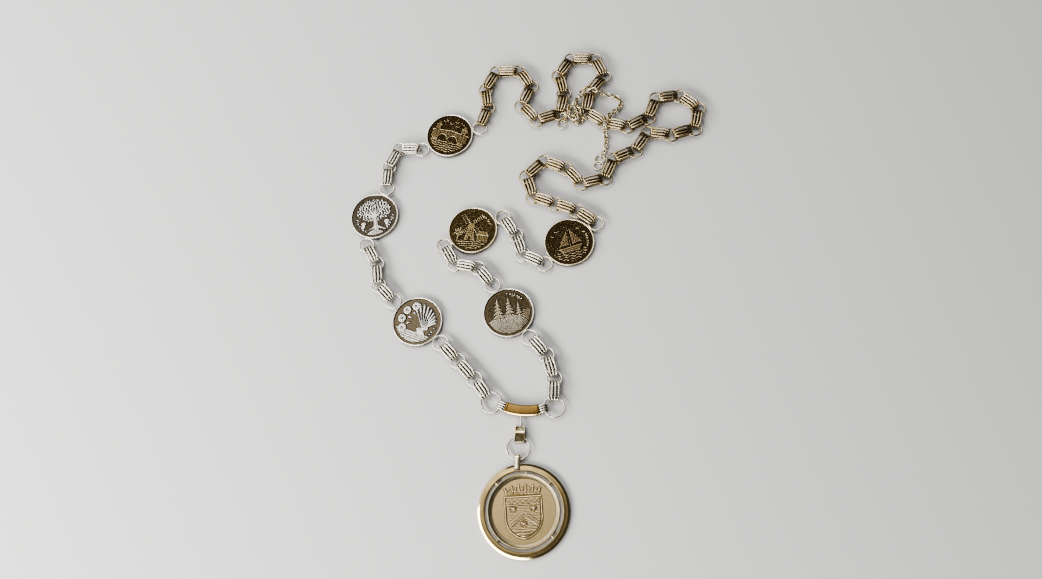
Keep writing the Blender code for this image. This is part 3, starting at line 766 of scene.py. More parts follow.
# ---- Reliefs ----------------------------------------------------------------------------
class Relief:
    """Heights over a round face. Places and sizes are shares of its radius."""

    def __init__(self, steps, seed):
        side = np.linspace(-1, 1, steps + 1)
        across, up = np.meshgrid(side, side)
        self.steps = steps
        self.x = self.across = across * np.sqrt(1 - up * up / 2)
        self.y = self.up = up * np.sqrt(1 - across * across / 2)
        self.height = np.zeros_like(self.x)
        self.dice = np.random.default_rng(seed)

    def turned(self, degrees):
        """Turn the face under the motifs that follow."""
        turn = math.radians(degrees)
        x, y = self.x, self.y
        self.x = x * math.cos(turn) + y * math.sin(turn)
        self.y = y * math.cos(turn) - x * math.sin(turn)

    # Distances: below zero inside a motif.
    def dot(self, x, y, radius, squash=1.0):
        return np.hypot(self.x - x, (self.y - y) / squash) - radius

    def hoop(self, x, y, radius, width):
        return np.abs(np.hypot(self.x - x, self.y - y) - radius) - width / 2

    def stroke(self, start, end, width, tip=None):
        tip = width if tip is None else tip
        dx, dy = end[0] - start[0], end[1] - start[1]
        along = ((self.x - start[0]) * dx + (self.y - start[1]) * dy) / (dx * dx + dy * dy)
        along = np.clip(along, 0, 1)
        off = np.hypot(self.x - start[0] - along * dx, self.y - start[1] - along * dy)
        return off - (width + (tip - width) * along) / 2

    def panel(self, corners):
        """A polygon's distance, its corners given anticlockwise and bulging outwards."""
        inside = np.full_like(self.x, -9.0)
        for (ax, ay), (bx, by) in zip(corners, corners[1:] + corners[:1]):
            size = math.hypot(bx - ax, by - ay)
            inside = np.maximum(inside, ((self.x - ax) * (by - ay) - (self.y - ay) * (bx - ax)) / size)
        return inside

    def within(self, distance, radius=0.9):
        """The part of a motif that lies in a circle round the middle."""
        return np.maximum(distance, self.dot(0, 0, radius))

    def lines(self, degrees, pitch, share, wave=0.0):
        """Parallel lines over the whole face, at a bearing."""
        turn = math.radians(degrees)
        off = self.y * math.cos(turn) - self.x * math.sin(turn)
        off = off + wave * np.sin((self.x * math.cos(turn) + self.y * math.sin(turn)) * 22)
        return (np.abs((off / pitch) % 1 - 0.5) - share / 2) * pitch

    def lay(self, distance, height=1.0, ease=0.035):
        """Raise what lies inside."""
        self.height = np.maximum(self.height, height * inside_share(distance, ease))

    def rib(self, height, ease, *stroke):
        """Raise a stroke."""
        self.lay(self.stroke(*stroke), height, ease)

    def boss(self, height, ease, *dot):
        """Raise a dot."""
        self.lay(self.dot(*dot), height, ease)

    def cut(self, distance, depth=0.3, ease=0.015):
        """Sink what lies inside."""
        self.height = self.height - depth * inside_share(distance, ease)

    def carve(self, height, ease, distance, *hatching):
        """Raise what lies inside and cut parallel lines into it."""
        self.lay(distance, height, ease)
        self.hatch(distance, *hatching)

    def build(self, height, ease, distance, *courses):
        """Raise what lies inside as brickwork."""
        self.lay(distance, height, ease)
        self.bricks(distance, *courses)

    def hatch(self, inside, degrees, pitch, share=0.4, depth=0.35, wave=0.0):
        """Cut parallel lines into a motif."""
        self.cut(np.maximum(inside, self.lines(degrees, pitch, share, wave)), depth, 0.012)

    def sky(self, degrees, pitch=0.085, height=0.24):
        """Fine waved lines over the whole face, behind what follows."""
        self.lay(self.within(self.lines(degrees, pitch, 0.5, 0.01), 0.92), height, 0.02)

    def waves(self, level, degrees, pitch, share, wave, height, ease=0.02):
        """Waved lines over all that lies below a level."""
        below = self.within(self.y - level)
        self.lay(np.maximum(below, self.lines(degrees, pitch, share, wave)), height, ease)

    def birds(self, places, span, thick):
        """Far birds, each of two strokes."""
        for x, y in places:
            left, right = (x - span, y + 0.05), (x + span, y + 0.06)
            self.rib(0.8, 0.015, left, (x, y), thick, 0.03)
            self.rib(0.8, 0.015, (x, y), right, 0.03, thick)

    def bricks(self, inside, pitch, depth=0.35):
        """Cut courses and their staggered joints into a motif."""
        self.hatch(inside, 0, pitch, 0.3, depth)
        long = pitch * 2.1
        row = np.floor(self.y / pitch)
        joints = (np.abs((self.x / long + row * 0.5) % 1 - 0.5) - 0.08) * long
        self.cut(np.maximum(inside, joints), depth, 0.012)

    def daisy(self, x, y, radius):
        """A round flower with a button in its sunken heart."""
        around = np.arctan2(self.y - y, self.x - x) * 9 / math.tau
        petals = self.dot(x, y, radius)
        self.lay(petals, 1.0, 0.05)
        self.cut(np.maximum(petals, (np.abs(around % 1 - 0.5) - 0.13) * radius * 0.6), 0.35, 0.012)
        self.cut(self.dot(x, y, radius * 0.36), 0.6, 0.03)
        self.boss(0.9, 0.02, x, y, radius * 0.18)

    def ear(self, root, degrees, size):
        """An ear of wheat."""
        for step in range(6):
            grain = aim(root, degrees, size * step / 6)
            for side in (-32, 32):
                self.rib(1.0, 0.03, grain, aim(grain, degrees + side, size * 0.27), 0.085, 0.03)
        self.rib(0.95, 0.02, root, aim(root, degrees, size * 1.15), 0.06, 0.015)

    def laurel(self, first, last, count, radius=0.82, size=0.15):
        """A border of paired leaves and berries along part of the edge."""
        ahead = 90 if last > first else -90
        for step in range(count):
            degrees = first + (last - first) * step / (count - 1)
            root = aim((0, 0), degrees, radius)
            if step % 3 == 2:
                self.boss(1.0, 0.03, *root, size * 0.34)
                continue
            for side in (-42, 42):
                tip = aim(root, degrees + ahead + side, size)
                self.rib(1.0, 0.025, root, tip, size * 0.42, size * 0.12)

    def finish(self, grain):
        """Cast grain, and a level edge."""
        noise = blurred(self.dice.normal(size=self.height.shape), 1)
        coarse = blurred(self.dice.normal(size=self.height.shape), 2)
        self.height = self.height + (noise + coarse * 2) * grain * (1.2 - 0.6 * np.clip(self.height, 0, 1))
        edge = np.clip((0.975 - np.hypot(self.x, self.y)) / 0.03, 0, 1)
        self.height = np.clip(self.height, -0.3, 1.1) * edge

    def proud(self):
        """How far a point stands above what is round it."""
        return self.height - blurred(self.height, 3)


def inside_share(distance, ease):
    """0 outside a motif, rising smoothly to 1 inside it."""
    share = np.clip(-distance / ease, 0, 1)
    return share * share * (3 - 2 * share)


def blurred(values, reach_steps):
    """The mean over a square round each point."""
    span = range(-reach_steps, reach_steps + 1)
    for axis in (0, 1):
        values = sum(np.roll(values, shift, axis) for shift in span)
    return values / len(span) ** 2


def aim(start, degrees, distance):
    turn = math.radians(degrees)
    return (start[0] + distance * math.cos(turn), start[1] + distance * math.sin(turn))


def edge_distance(start, degrees, radius):
    """How far it is from a place to a circle round the middle, along a bearing."""
    turn = math.radians(degrees)
    ahead = start[0] * math.cos(turn) + start[1] * math.sin(turn)
    return math.sqrt(ahead ** 2 - start[0] ** 2 - start[1] ** 2 + radius ** 2) - ahead


def sunflower(count):
    """Places spread evenly over a circle of radius 1, by turns of the golden angle."""
    for index in range(count):
        turn, far = index * 2.39996, math.sqrt((index + 0.5) / count)
        yield index, far * math.cos(turn), far * math.sin(turn)


def draw_sheaf(face):
    """Wheat sheaf beside daisies, over a ploughed field."""
    face.turned(-12)
    field = face.within(face.y + 0.44 + 0.12 * face.x, 0.92)
    face.carve(0.55, 0.03, field, -8, 0.10, 0.45, 0.5)
    tie = (0.30, -0.28)
    for step in range(9):
        lean = 36 + step * 10.5
        far = edge_distance(tie, lean, 0.87)
        face.rib(0.65, 0.02, tie, aim(tie, lean, far - 0.3), 0.05)
        face.rib(0.75, 0.02, tie, aim(tie, lean * 0.9 + 188, 0.44), 0.07)
        face.ear(aim(tie, lean, far - 0.46), lean, 0.40)
    face.carve(1.0, 0.03, face.stroke((0.12, -0.33), (0.48, -0.24), 0.16), 12, 0.05, 0.35)
    for degrees in (108, 143, 178, 213):
        face.daisy(*aim((0, 0), degrees, 0.69), 0.20)
    for degrees, size in ((122, 0.13), (160, 0.15), (198, 0.13)):
        leaf = aim((0, 0), degrees, 0.42)
        face.rib(0.8, 0.03, leaf, aim(leaf, degrees + 180, size), 0.10, 0.03)
    face.laurel(-46, -14, 4)


def draw_oak(face):
    """Spreading oak over a mound, with acorns."""
    face.turned(8)
    face.carve(0.85, 0.06, face.stroke((0.05, -0.60), (0.0, 0.10), 0.28, 0.16), 84, 0.07)
    for side in (-1, 1):
        start, end = (0.05 + side * 0.06, -0.52), (0.05 + side * 0.36, -0.66)
        face.rib(0.8, 0.03, start, end, 0.13, 0.03)
    for degrees, size in ((150, 0.55), (118, 0.6), (80, 0.6), (42, 0.55)):
        face.rib(0.8, 0.03, (0.0, -0.05), aim((0.0, -0.05), degrees, size), 0.12, 0.05)
    for index, across, up in sunflower(118):
        root = (0.77 * across, 0.29 + 0.51 * up)
        leaf = face.stroke(root, aim(root, index * 77 % 360, 0.11), 0.095, 0.03)
        face.lay(leaf, 0.65 + 0.35 * (index % 4) / 3, 0.03)
    mound = face.within(face.dot(0.0, -1.06, 0.46, 0.9), 0.92)
    face.carve(0.7, 0.04, mound, 0, 0.075, 0.4, 0.35, 0.012)
    for x in (-0.52, 0.54):
        face.boss(0.95, 0.05, x, -0.40, 0.10, 1.3)
        cap = np.maximum(face.dot(x, -0.33, 0.125, 0.75), -face.y - 0.37)
        face.carve(1.0, 0.02, cap, 45, 0.05)
        face.rib(0.9, 0.02, (x, -0.26), (x + 0.05, -0.18), 0.04)
    face.laurel(184, 236, 7)
    face.laurel(-4, -56, 7)


def draw_bridge(face):
    """Arched bridge between two gate towers, over water."""
    face.turned(-18)
    face.sky(0)
    deck = face.panel([(-0.86, -0.24), (0.86, -0.24), (0.88, 0.12), (0.0, 0.22), (-0.88, 0.12)])
    for x, radius in ((-0.30, 0.20), (0.20, 0.20)):
        deck = np.maximum(deck, -face.dot(x, -0.24, radius, 1.3))
        face.lay(np.maximum(face.hoop(x, -0.24, radius * 1.15, 0.06), -0.24 - face.y), 0.95, 0.02)
    face.build(0.6, 0.03, deck, 0.09)
    for start, end in (((-0.88, 0.13), (0.0, 0.23)), ((0.0, 0.23), (0.88, 0.13))):
        face.rib(1.0, 0.025, start, end, 0.06)
    for x in (-0.64, 0.60):
        tower = [(x - 0.15, -0.34), (x + 0.15, -0.34), (x + 0.13, 0.40), (x - 0.13, 0.40)]
        face.build(0.8, 0.03, face.panel(tower), 0.085)
        face.cut(face.stroke((x, 0.08), (x, 0.22), 0.08), 0.5, 0.02)
        roof = face.panel([(x - 0.19, 0.38), (x + 0.19, 0.38), (x, 0.66)])
        face.carve(0.95, 0.04, roof, 90, 0.07)
    face.waves(-0.34, 0, 0.11, 0.45, 0.018, 0.65)
    face.birds(((-0.10, 0.56), (0.12, 0.68), (0.22, 0.48)), 0.09, 0.045)
    face.laurel(24, 62, 5, size=0.13)
    face.laurel(156, 118, 5, size=0.13)


def draw_boat(face):
    """Sailing boat on waves."""
    face.turned(14)
    face.sky(-6)
    hull = face.panel([(-0.56, -0.22), (-0.38, -0.48), (0.38, -0.48), (0.62, -0.16)])
    face.carve(0.95, 0.05, hull, 3, 0.085, 0.35)
    face.rib(1.0, 0.02, (0.02, -0.30), (0.06, 0.80), 0.05, 0.03)
    main = face.panel([(0.10, -0.14), (0.62, -0.10), (0.09, 0.72)])
    jib = face.panel([(-0.52, -0.16), (0.0, -0.16), (0.02, 0.64)])
    for sail, slant in ((main, 62), (jib, -58)):
        face.carve(0.75, 0.05, sail, slant, 0.10, 0.3)
        face.hatch(sail, slant + 90, 0.21, 0.15, 0.25)
    face.waves(-0.40, 0, 0.12, 0.5, 0.028, 0.7, 0.025)
    face.birds(((-0.58, 0.38), (-0.40, 0.56), (0.56, 0.50)), 0.10, 0.05)
    face.laurel(-26, 20, 7)


def draw_mill(face):
    """Windmill beside a barn and an apple tree."""
    face.turned(-8)
    face.sky(4)
    body = face.panel([(-0.34, -0.50), (0.18, -0.50), (0.07, 0.16), (-0.23, 0.16)])
    face.build(0.75, 0.04, body, 0.095)
    face.boss(0.95, 0.06, -0.08, 0.18, 0.19, 0.9)
    face.cut(face.stroke((-0.08, -0.48), (-0.08, -0.34), 0.12), 0.5, 0.02)
    hub = (-0.08, 0.22)
    for quarter in range(4):
        lean = 38 + quarter * 90
        face.rib(1.0, 0.02, hub, aim(hub, lean, 0.64), 0.055, 0.035)
        for step in range(6):
            root = aim(hub, lean, 0.18 + step * 0.088)
            face.rib(0.9, 0.012, root, aim(root, lean + 90, 0.16), 0.036)
        start, end = (aim(aim(hub, lean, far), lean + 90, 0.16) for far in (0.17, 0.62))
        face.rib(0.95, 0.015, start, end, 0.036)
    face.boss(1.1, 0.03, *hub, 0.06)
    barn = face.panel([(0.24, -0.50), (0.76, -0.50), (0.76, -0.24), (0.24, -0.24)])
    roof = face.panel([(0.17, -0.24), (0.82, -0.24), (0.66, 0.00), (0.32, 0.00)])
    face.carve(0.6, 0.03, barn, 90, 0.07, 0.3)
    face.build(0.9, 0.03, roof, 0.065, 0.4)
    face.waves(-0.50, 4, 0.10, 0.5, 0.012, 0.6)
    face.rib(0.7, 0.02, (-0.62, -0.50), (-0.60, -0.22), 0.07)
    for index, across, up in sunflower(14):
        apple = face.dot(-0.60 + 0.19 * across, -0.12 + 0.19 * up, 0.055)
        face.lay(apple, 0.75 + 0.2 * (index % 2), 0.03)
    face.laurel(26, 66, 6)


def draw_firs(face):
    """Fir trees on ploughed hills."""
    face.turned(10)
    face.sky(0)
    hill = face.within(face.dot(-0.15, -1.05, 1.12, 0.9), 0.93)
    face.lay(hill, 0.6, 0.04)
    spread = np.arctan2(face.x + 0.75, face.y + 1.7) * 26
    face.cut(np.maximum(hill, (np.abs(spread / 0.9 % 1 - 0.5) - 0.26) * 0.06), 0.6, 0.012)
    far_hill = np.maximum(face.within(face.dot(0.75, -0.62, 0.72, 0.9), 0.93), -hill)
    face.carve(0.5, 0.03, far_hill, 150, 0.085)
    for x, y, size in ((-0.42, -0.20, 1.0), (0.06, -0.06, 0.84), (0.46, -0.14, 0.66)):
        face.rib(0.8, 0.02, (x, y - 0.10), (x, y + 0.2 * size), 0.10 * size)
        for tier in range(5):
            low = y + size * 0.165 * tier
            wide = size * (0.31 - 0.052 * tier)
            bough = face.panel([(x - wide, low), (x + wide, low), (x, low + size * 0.30)])
            face.lay(bough, 0.97 - 0.03 * tier, 0.05)
            for side in (-1, 1):
                half_bough = np.maximum(bough, -side * (face.x - x))
                face.cut(np.maximum(half_bough, face.lines(90 - side * 24, 0.075, 0.35)), 0.3)
            face.cut(face.stroke((x - wide, low), (x + wide, low), 0.035), 0.5, 0.015)
    face.laurel(38, 84, 7)


def shield_distance(face, half, top, waist, drop):
    """A shield: straight sides down to its waist, then round to a blunt point."""
    radius = (drop * drop + half * half) / (2 * half)
    off = radius - half
    round_part = np.maximum(face.dot(off, waist, radius), face.dot(-off, waist, radius))
    return np.maximum(np.where(face.y < waist, round_part, np.abs(face.x) - half), face.y - top)


def draw_shield(face):
    """Shield with a chevron between stars, under a coronet of balls."""
    face.turned(4)
    shield = shield_distance(face, 0.56, 0.44, -0.16, 0.64)
    face.lay(np.abs(shield + 0.02) - 0.022, 1.0, 0.02)
    inner = shield + 0.06
    face.carve(0.36, 0.02, inner, 0, 0.045, 0.55, 0.34)
    chief = np.maximum(inner, 0.20 - face.y)
    face.lay(chief, 0.62, 0.015)
    for degrees in (38, -38):
        face.hatch(chief, degrees, 0.105, 0.24, 0.4)
    face.lay(np.maximum(inner, np.abs(face.y - 0.19) - 0.014), 0.95, 0.01)
    waves = np.maximum(inner, face.y + 0.50)
    face.lay(np.maximum(waves, face.lines(0, 0.085, 0.5, 0.014)), 0.8, 0.015)
    chevron = np.abs(face.y + 0.08 + np.abs(face.x) * 0.72) - 0.085
    face.lay(np.maximum(inner, chevron), 0.85, 0.015)
    for side in (-1, 1):
        half_band = np.maximum(np.maximum(inner, chevron + 0.03), -side * face.x)
        face.hatch(half_band, side * 54, 0.06, 0.45, 0.45)
    for x, y in ((-0.30, 0.07), (0.30, 0.07), (0.0, -0.37)):
        face.cut(face.dot(x, y, 0.125), 0.35, 0.02)
        for step in range(6):
            face.rib(1.0, 0.015, (x, y), aim((x, y), 30 + step * 60, 0.115), 0.06, 0.015)
        face.boss(1.1, 0.02, x, y, 0.04)
    band = face.panel([(-0.50, 0.48), (0.50, 0.48), (0.54, 0.58), (-0.54, 0.58)])
    face.lay(band, 0.55, 0.012)
    face.lay(np.abs(band + 0.012) - 0.010, 1.0, 0.010)
    for step in range(11):
        x = (step - 5) * 0.098
        face.boss(0.95, 0.015, x, 0.53, 0.026)
        lift = 0.735 - 0.0032 * (step - 5) ** 2
        if step % 2:
            face.rib(0.8, 0.01, (x, 0.59), (x * 1.05, lift - 0.07), 0.03, 0.02)
            face.boss(0.95, 0.015, x * 1.05, lift - 0.06, 0.028)
        else:
            face.rib(0.85, 0.012, (x, 0.58), (x * 1.08, lift - 0.02), 0.07, 0.025)
            face.boss(1.0, 0.02, x * 1.08, lift, 0.036)


def relief_shape(face, radius, base, relief, contrast):
    """The face's heights on a grid drawn out to a circle, with a straight side below."""
    shape = bmesh.new()
    layers = shape.verts.layers.float
    high, hollow, edge = (layers.new(part) for part in ("high", "hollow", "edge"))
    bmesh.ops.create_grid(shape, x_segments=face.steps, y_segments=face.steps, size=1)
    columns = (face.across * radius, face.up * radius, base + face.height * relief,
               face.height, face.proud())
    rows = zip(shape.verts, *(column.flat for column in columns))
    for vert, x, y, z, height, proud in rows:
        vert.co = (x, y, z)
        vert[high] = height
        # Ridges that stand proud get rubbed wear with a painted highlight; hollows get patina.
        vert[edge] = clamped(proud * contrast)
        vert[hollow] = clamped(-proud * contrast)
    for item in bmesh.ops.extrude_edge_only(shape, edges=open_edges(shape))["geom"]:
        if isinstance(item, bmesh.types.BMVert):
            item.co.z = 0.0
    bmesh.ops.holes_fill(shape, edges=open_edges(shape))
    return shape


# ---- Operators: one for each piece or group of like pieces --------------------------------
class CHAIN_OT_links(bpy.types.Operator):
    """Make the wound links of the front runs"""

    bl_idname = "chain.links"
    bl_label = "Front links"

    def execute(self, context):
        finish = front_wire(context)
        coil = link_coil(context)
        links = [link for run in FRONT_RUNS for link in lay(*run)[1]]
        for number, link in enumerate(links, 1):
            put(f"coil_{number:02}", coil, finish, [f"link_{number:02}"],
                coil_place(*link))
        return {"FINISHED"}


class CHAIN_OT_rings(bpy.types.Operator):
    """Make the loose rings of the front runs and the two big rings at the bar"""

    bl_idname = "chain.rings"
    bl_label = "Front rings"

    def execute(self, context):
        sizes = context.scene.chain_sizes
        finish = front_wire(context)
        dice = random.Random(FRONT_SEED)
        ring = ring_mesh("ring", SMALL_RING_RADIUS, sizes.ring_wire)
        centres = [centre for run in FRONT_RUNS for centre in lay(*run)[0][1:-1]]
        for number, centre in enumerate(centres, 1):
            put(f"loose_ring_{number:02}", ring, finish, [f"ring_{number:02}"],
                loose_ring_place(centre, sizes.ring_level, dice))
        big = ring_mesh("big_ring", BIG_RING_RADIUS, sizes.ring_wire, steps=56)
        for name, spot in BIG_RINGS.items():
            put("bar_" + name, big, finish, [name],
                loose_ring_place(flat_point(*spot), BIG_RING_LEVEL, dice))
        return {"FINISHED"}


class CHAIN_OT_back_run(bpy.types.Operator):
    """Make the long plain run at the back"""

    bl_idname = "chain.back_run"
    bl_label = "Back run"

    def execute(self, context):
        sizes, colours = context.scene.chain_sizes, context.scene.chain_colours
        finish = made("old_gilt_wire", wire_finish, colours.warm_silver, colours.old_gilt,
                      colours.tarnish_and_shade, (0.40, 0.62))
        dice = random.Random(BACK_SEED)
        coil = link_coil(context)
        ring = ring_mesh("ring", SMALL_RING_RADIUS, sizes.ring_wire)
        rings, links = lay("medal_3", "medal_4", BACK_RUN)
        free_rings = rings[1:-1]
        for number, first in enumerate(range(0, len(links), LINKS_PER_SOLID), 1):
            last = first + LINKS_PER_SOLID
            shape = bmesh.new()
            shape.verts.layers.float.new("groove")
            for link in links[first:last]:
                stamp(shape, coil, coil_place(*link))
            for centre in free_rings[first:last]:
                stamp(shape, ring, loose_ring_place(centre, sizes.ring_level, dice))
            put(f"back_coils_{number}", shape, finish, [f"back_run_{number}"])
        return {"FINISHED"}


class CHAIN_OT_settings(bpy.types.Operator):
    """Make the wire-rimmed settings with their eyelets"""

    bl_idname = "chain.settings"
    bl_label = "Medal settings"

    def execute(self, context):
        sizes, colours = context.scene.chain_sizes, context.scene.chain_colours
        bright = front_wire(context)
        pale = made("pale_setting", wire_finish, colours.champagne, colours.warm_silver,
                    colours.tarnish_and_shade)
        eyelet = ring_mesh("eyelet", EYELET_RADIUS, sizes.ring_wire, swell=0.35)
        section = [(15.45, 0.0), (16.1, 0.0), (16.35, 0.2), (16.35, 1.45), (16.2, 1.6), (16.35, 1.75)]
        section += round_top(15.35, 16.5, 2.9, 8)
        section += [(15.35, 1.6), (15.35, 0.1)]
        for medal in MEDALS:
            centre = flat_point(medal.x, medal.y)
            shape = bmesh.new()
            add_turned(shape, scaled(section), 120)
            # Painted shade on the setting's sides and underside.
            paint_side_shade(shape)
            for degrees in (medal.eyelet_in, medal.eyelet_out):
                middle = eyelet_centre(medal, degrees) - centre + Vector((0, 0, EYELET_LEVEL))
                stamp(shape, eyelet, place(middle, degrees + 180))
            finish = pale if medal.name in ("medal_4", "medal_5") else bright
            put(medal.name + "_setting", shape, finish, [medal.name + "_bezel"],
                Matrix.Translation(centre))
        return {"FINISHED"}


# A medal's motifs, grain, contrast and slot, then the colours of its ground, motifs, rubbed
# edges with their painted highlight, and hollows, and how mottled they are.
Strike = namedtuple("Strike", "draw grain contrast slot ground motif bright hollow mottle")
STRIKES = {
    "medal_1": Strike(draw_sheaf, 0.08, 3.6, "silver_relief", (0.145, 0.118, 0.078), (0.72, 0.68, 0.58),
                      (0.95, 0.93, 0.88), (0.025, 0.018, 0.012), 0.45),
    "medal_2": Strike(draw_oak, 0.16, 3.6, "silver_relief", (0.10, 0.082, 0.058), (0.66, 0.62, 0.54),
                      (0.93, 0.91, 0.85), (0.026, 0.019, 0.013), 0.3),
    "medal_3": Strike(draw_bridge, 0.20, 2.8, "bronze_relief", (0.050, 0.034, 0.015), (0.17, 0.122, 0.060),
                      (0.60, 0.48, 0.29), (0.014, 0.009, 0.004), 0.3),
    "medal_4": Strike(draw_boat, 0.20, 2.8, "bronze_relief", (0.060, 0.042, 0.020), (0.19, 0.137, 0.072),
                      (0.60, 0.48, 0.30), (0.014, 0.009, 0.004), 0.3),
    "medal_5": Strike(draw_mill, 0.20, 2.8, "bronze_relief", (0.070, 0.051, 0.022), (0.225, 0.165, 0.078),
                      (0.66, 0.54, 0.33), (0.017, 0.011, 0.005), 0.3),
    "medal_6": Strike(draw_firs, 0.12, 2.8, "silver_relief", (0.10, 0.078, 0.046), (0.33, 0.27, 0.175),
                      (0.80, 0.73, 0.58), (0.024, 0.017, 0.010), 0.35),
}


class CHAIN_OT_medals(bpy.types.Operator):
    """Make the six struck medals"""

    bl_idname = "chain.medals"
    bl_label = "Medal reliefs"

    def execute(self, context):
        sizes = context.scene.chain_sizes
        for seed, medal in enumerate(MEDALS):
            strike = STRIKES[medal.name]
            face = Relief(sizes.medal_steps, seed)
            strike.draw(face)
            face.finish(strike.grain)
            shape = relief_shape(
                face, MEDAL_FACE_RADIUS, MEDAL_FACE_LEVEL, sizes.medal_relief, strike.contrast)
            name = medal.name + "_relief"
            finish = made(name, relief_finish, strike.ground, strike.motif, strike.bright,
                          strike.hollow, strike.mottle)
            put(name, shape, finish, [medal.name],
                Matrix.Translation(flat_point(medal.x, medal.y)), sharp=70)
        return {"FINISHED"}


class CHAIN_OT_bar(bpy.types.Operator):
    """Make the curved bar, the coil at each of its ends and the swivel's pin"""

    bl_idname = "chain.bar"
    bl_label = "Bar"

    def execute(self, context):
        colours = context.scene.chain_colours
        centre = flat_point(*BAR_CENTRE)
        gold = made("bar_gold", brushed_finish, centre, colours.bar_gold,
                    toned(colours.bar_gold, 0.72), colours.pale_gold)
        put("bar_plate", self.plate(), gold, ["bar"], Matrix.Translation(centre),
            sharp=35)

        silver = front_wire(context)
        coil = coil_mesh("bar_coil", BAR_COIL_LENGTH, BAR_COIL_HEIGHT, BAR_COIL_WIRE,
                         BAR_COIL_PITCH, BAR_WINDING)
        inset = BAR_COIL_OUT - BAR_COIL_LENGTH / 2
        for side, degrees, turn in zip(("left", "right"), BAR_BEARINGS, (-90, 90)):
            middle = centre + bearing(degrees) * BAR_ARC_RADIUS + bearing(degrees + turn) * inset
            put("bar_coil_" + side, coil, silver, ["bar"],
                place(middle + Vector((0, 0, BAR_COIL_LEVEL)), degrees + turn))

        profile = [
            (0, 0), (0.9, 0), (1.1, 0.2), (1.1, 0.75), (0.95, 0.9), (0.5, 0.9), (0.5, 3.0),
            (0.66, 3.25), (0.66, 4.5), (0.5, 4.9), (0.5, PIN_LENGTH), (0, PIN_LENGTH)]
        pin = bmesh.new()
        add_turned(pin, scaled(profile), 16, closed=False)
        lying = Matrix.Rotation(-math.pi / 2, 4, "X")
        put("swivel_pin", pin, silver, ["bar"],
            Matrix.Translation(flat_point(*PIN_FOOT, PIN_LEVEL)) @ lying)
        return {"FINISHED"}

    def plate(self):
        """The plate's domed section swept along its arc, with a fine line cut near each end."""
        low, high = BAR_LEVELS
        near, far = BAR_ARC_RADIUS - BAR_WIDTH / 2, BAR_ARC_RADIUS + BAR_WIDTH / 2
        section = [(near + 0.3 * MM, low), (far - 0.3 * MM, low), (far, low + 0.3 * MM)]
        outer = ((0, 0.8), (0.05, 0.60), (0.2, 0.48), (0.58, 0.20), (0.64, 0.155), (0.70, 0.125),
                 (0.80, 0.105), (2.4, 0.02))
        inner = ((2.4, 0.0), (1.2, 0.03), (0.6, 0.1), (0.25, 0.25), (0.05, 0.55))
        section += [(far - inset * MM, high - drop * MM) for inset, drop in outer]
        section += [(near + inset * MM, high - drop * MM) for inset, drop in inner]
        section.append((near, low + 0.3 * MM))
        shape = bmesh.new()
        first = bearing(BAR_BEARINGS[0])
        points = [first * radius + Vector((0, 0, height)) for radius, height in section]
        sweep = math.radians(BAR_BEARINGS[1] - BAR_BEARINGS[0])
        bmesh.ops.spin(shape, geom=outline(shape, points), cent=(0, 0, 0), axis=(0, 0, 1),
                       angle=sweep, steps=160)
        bmesh.ops.holes_fill(shape, edges=open_edges(shape))
        groove = shape.verts.layers.float.new("groove")
        polish = shape.verts.layers.float.new("polish")
        for vert in shape.verts:
            if vert.co.z < (low + high) / 2:
                continue
            # Polished outer edge with a painted highlight, on the outer side only.
            vert[polish] = vert.co.z > high - 0.9 * MM and vert.co.length > far - 0.6 * MM
            turn = math.radians(bend(BAR_BEARINGS[0], heading_of(vert.co)))
            from_left, from_right = turn * BAR_ARC_RADIUS, (sweep - turn) * BAR_ARC_RADIUS
            # Painted shade and tarnish in the fine lines cut near the ends.
            for distance, inset in zip((from_left, from_right), BAR_LINE_INSETS):
                line = math.exp(-((distance - inset) / BAR_LINE_WIDTH) ** 2)
                vert.co.z -= 0.12 * MM * line + 0.25 * MM * max(0, 1 - distance / (0.35 * MM))
                vert[groove] = max(vert[groove], line)
        return shape


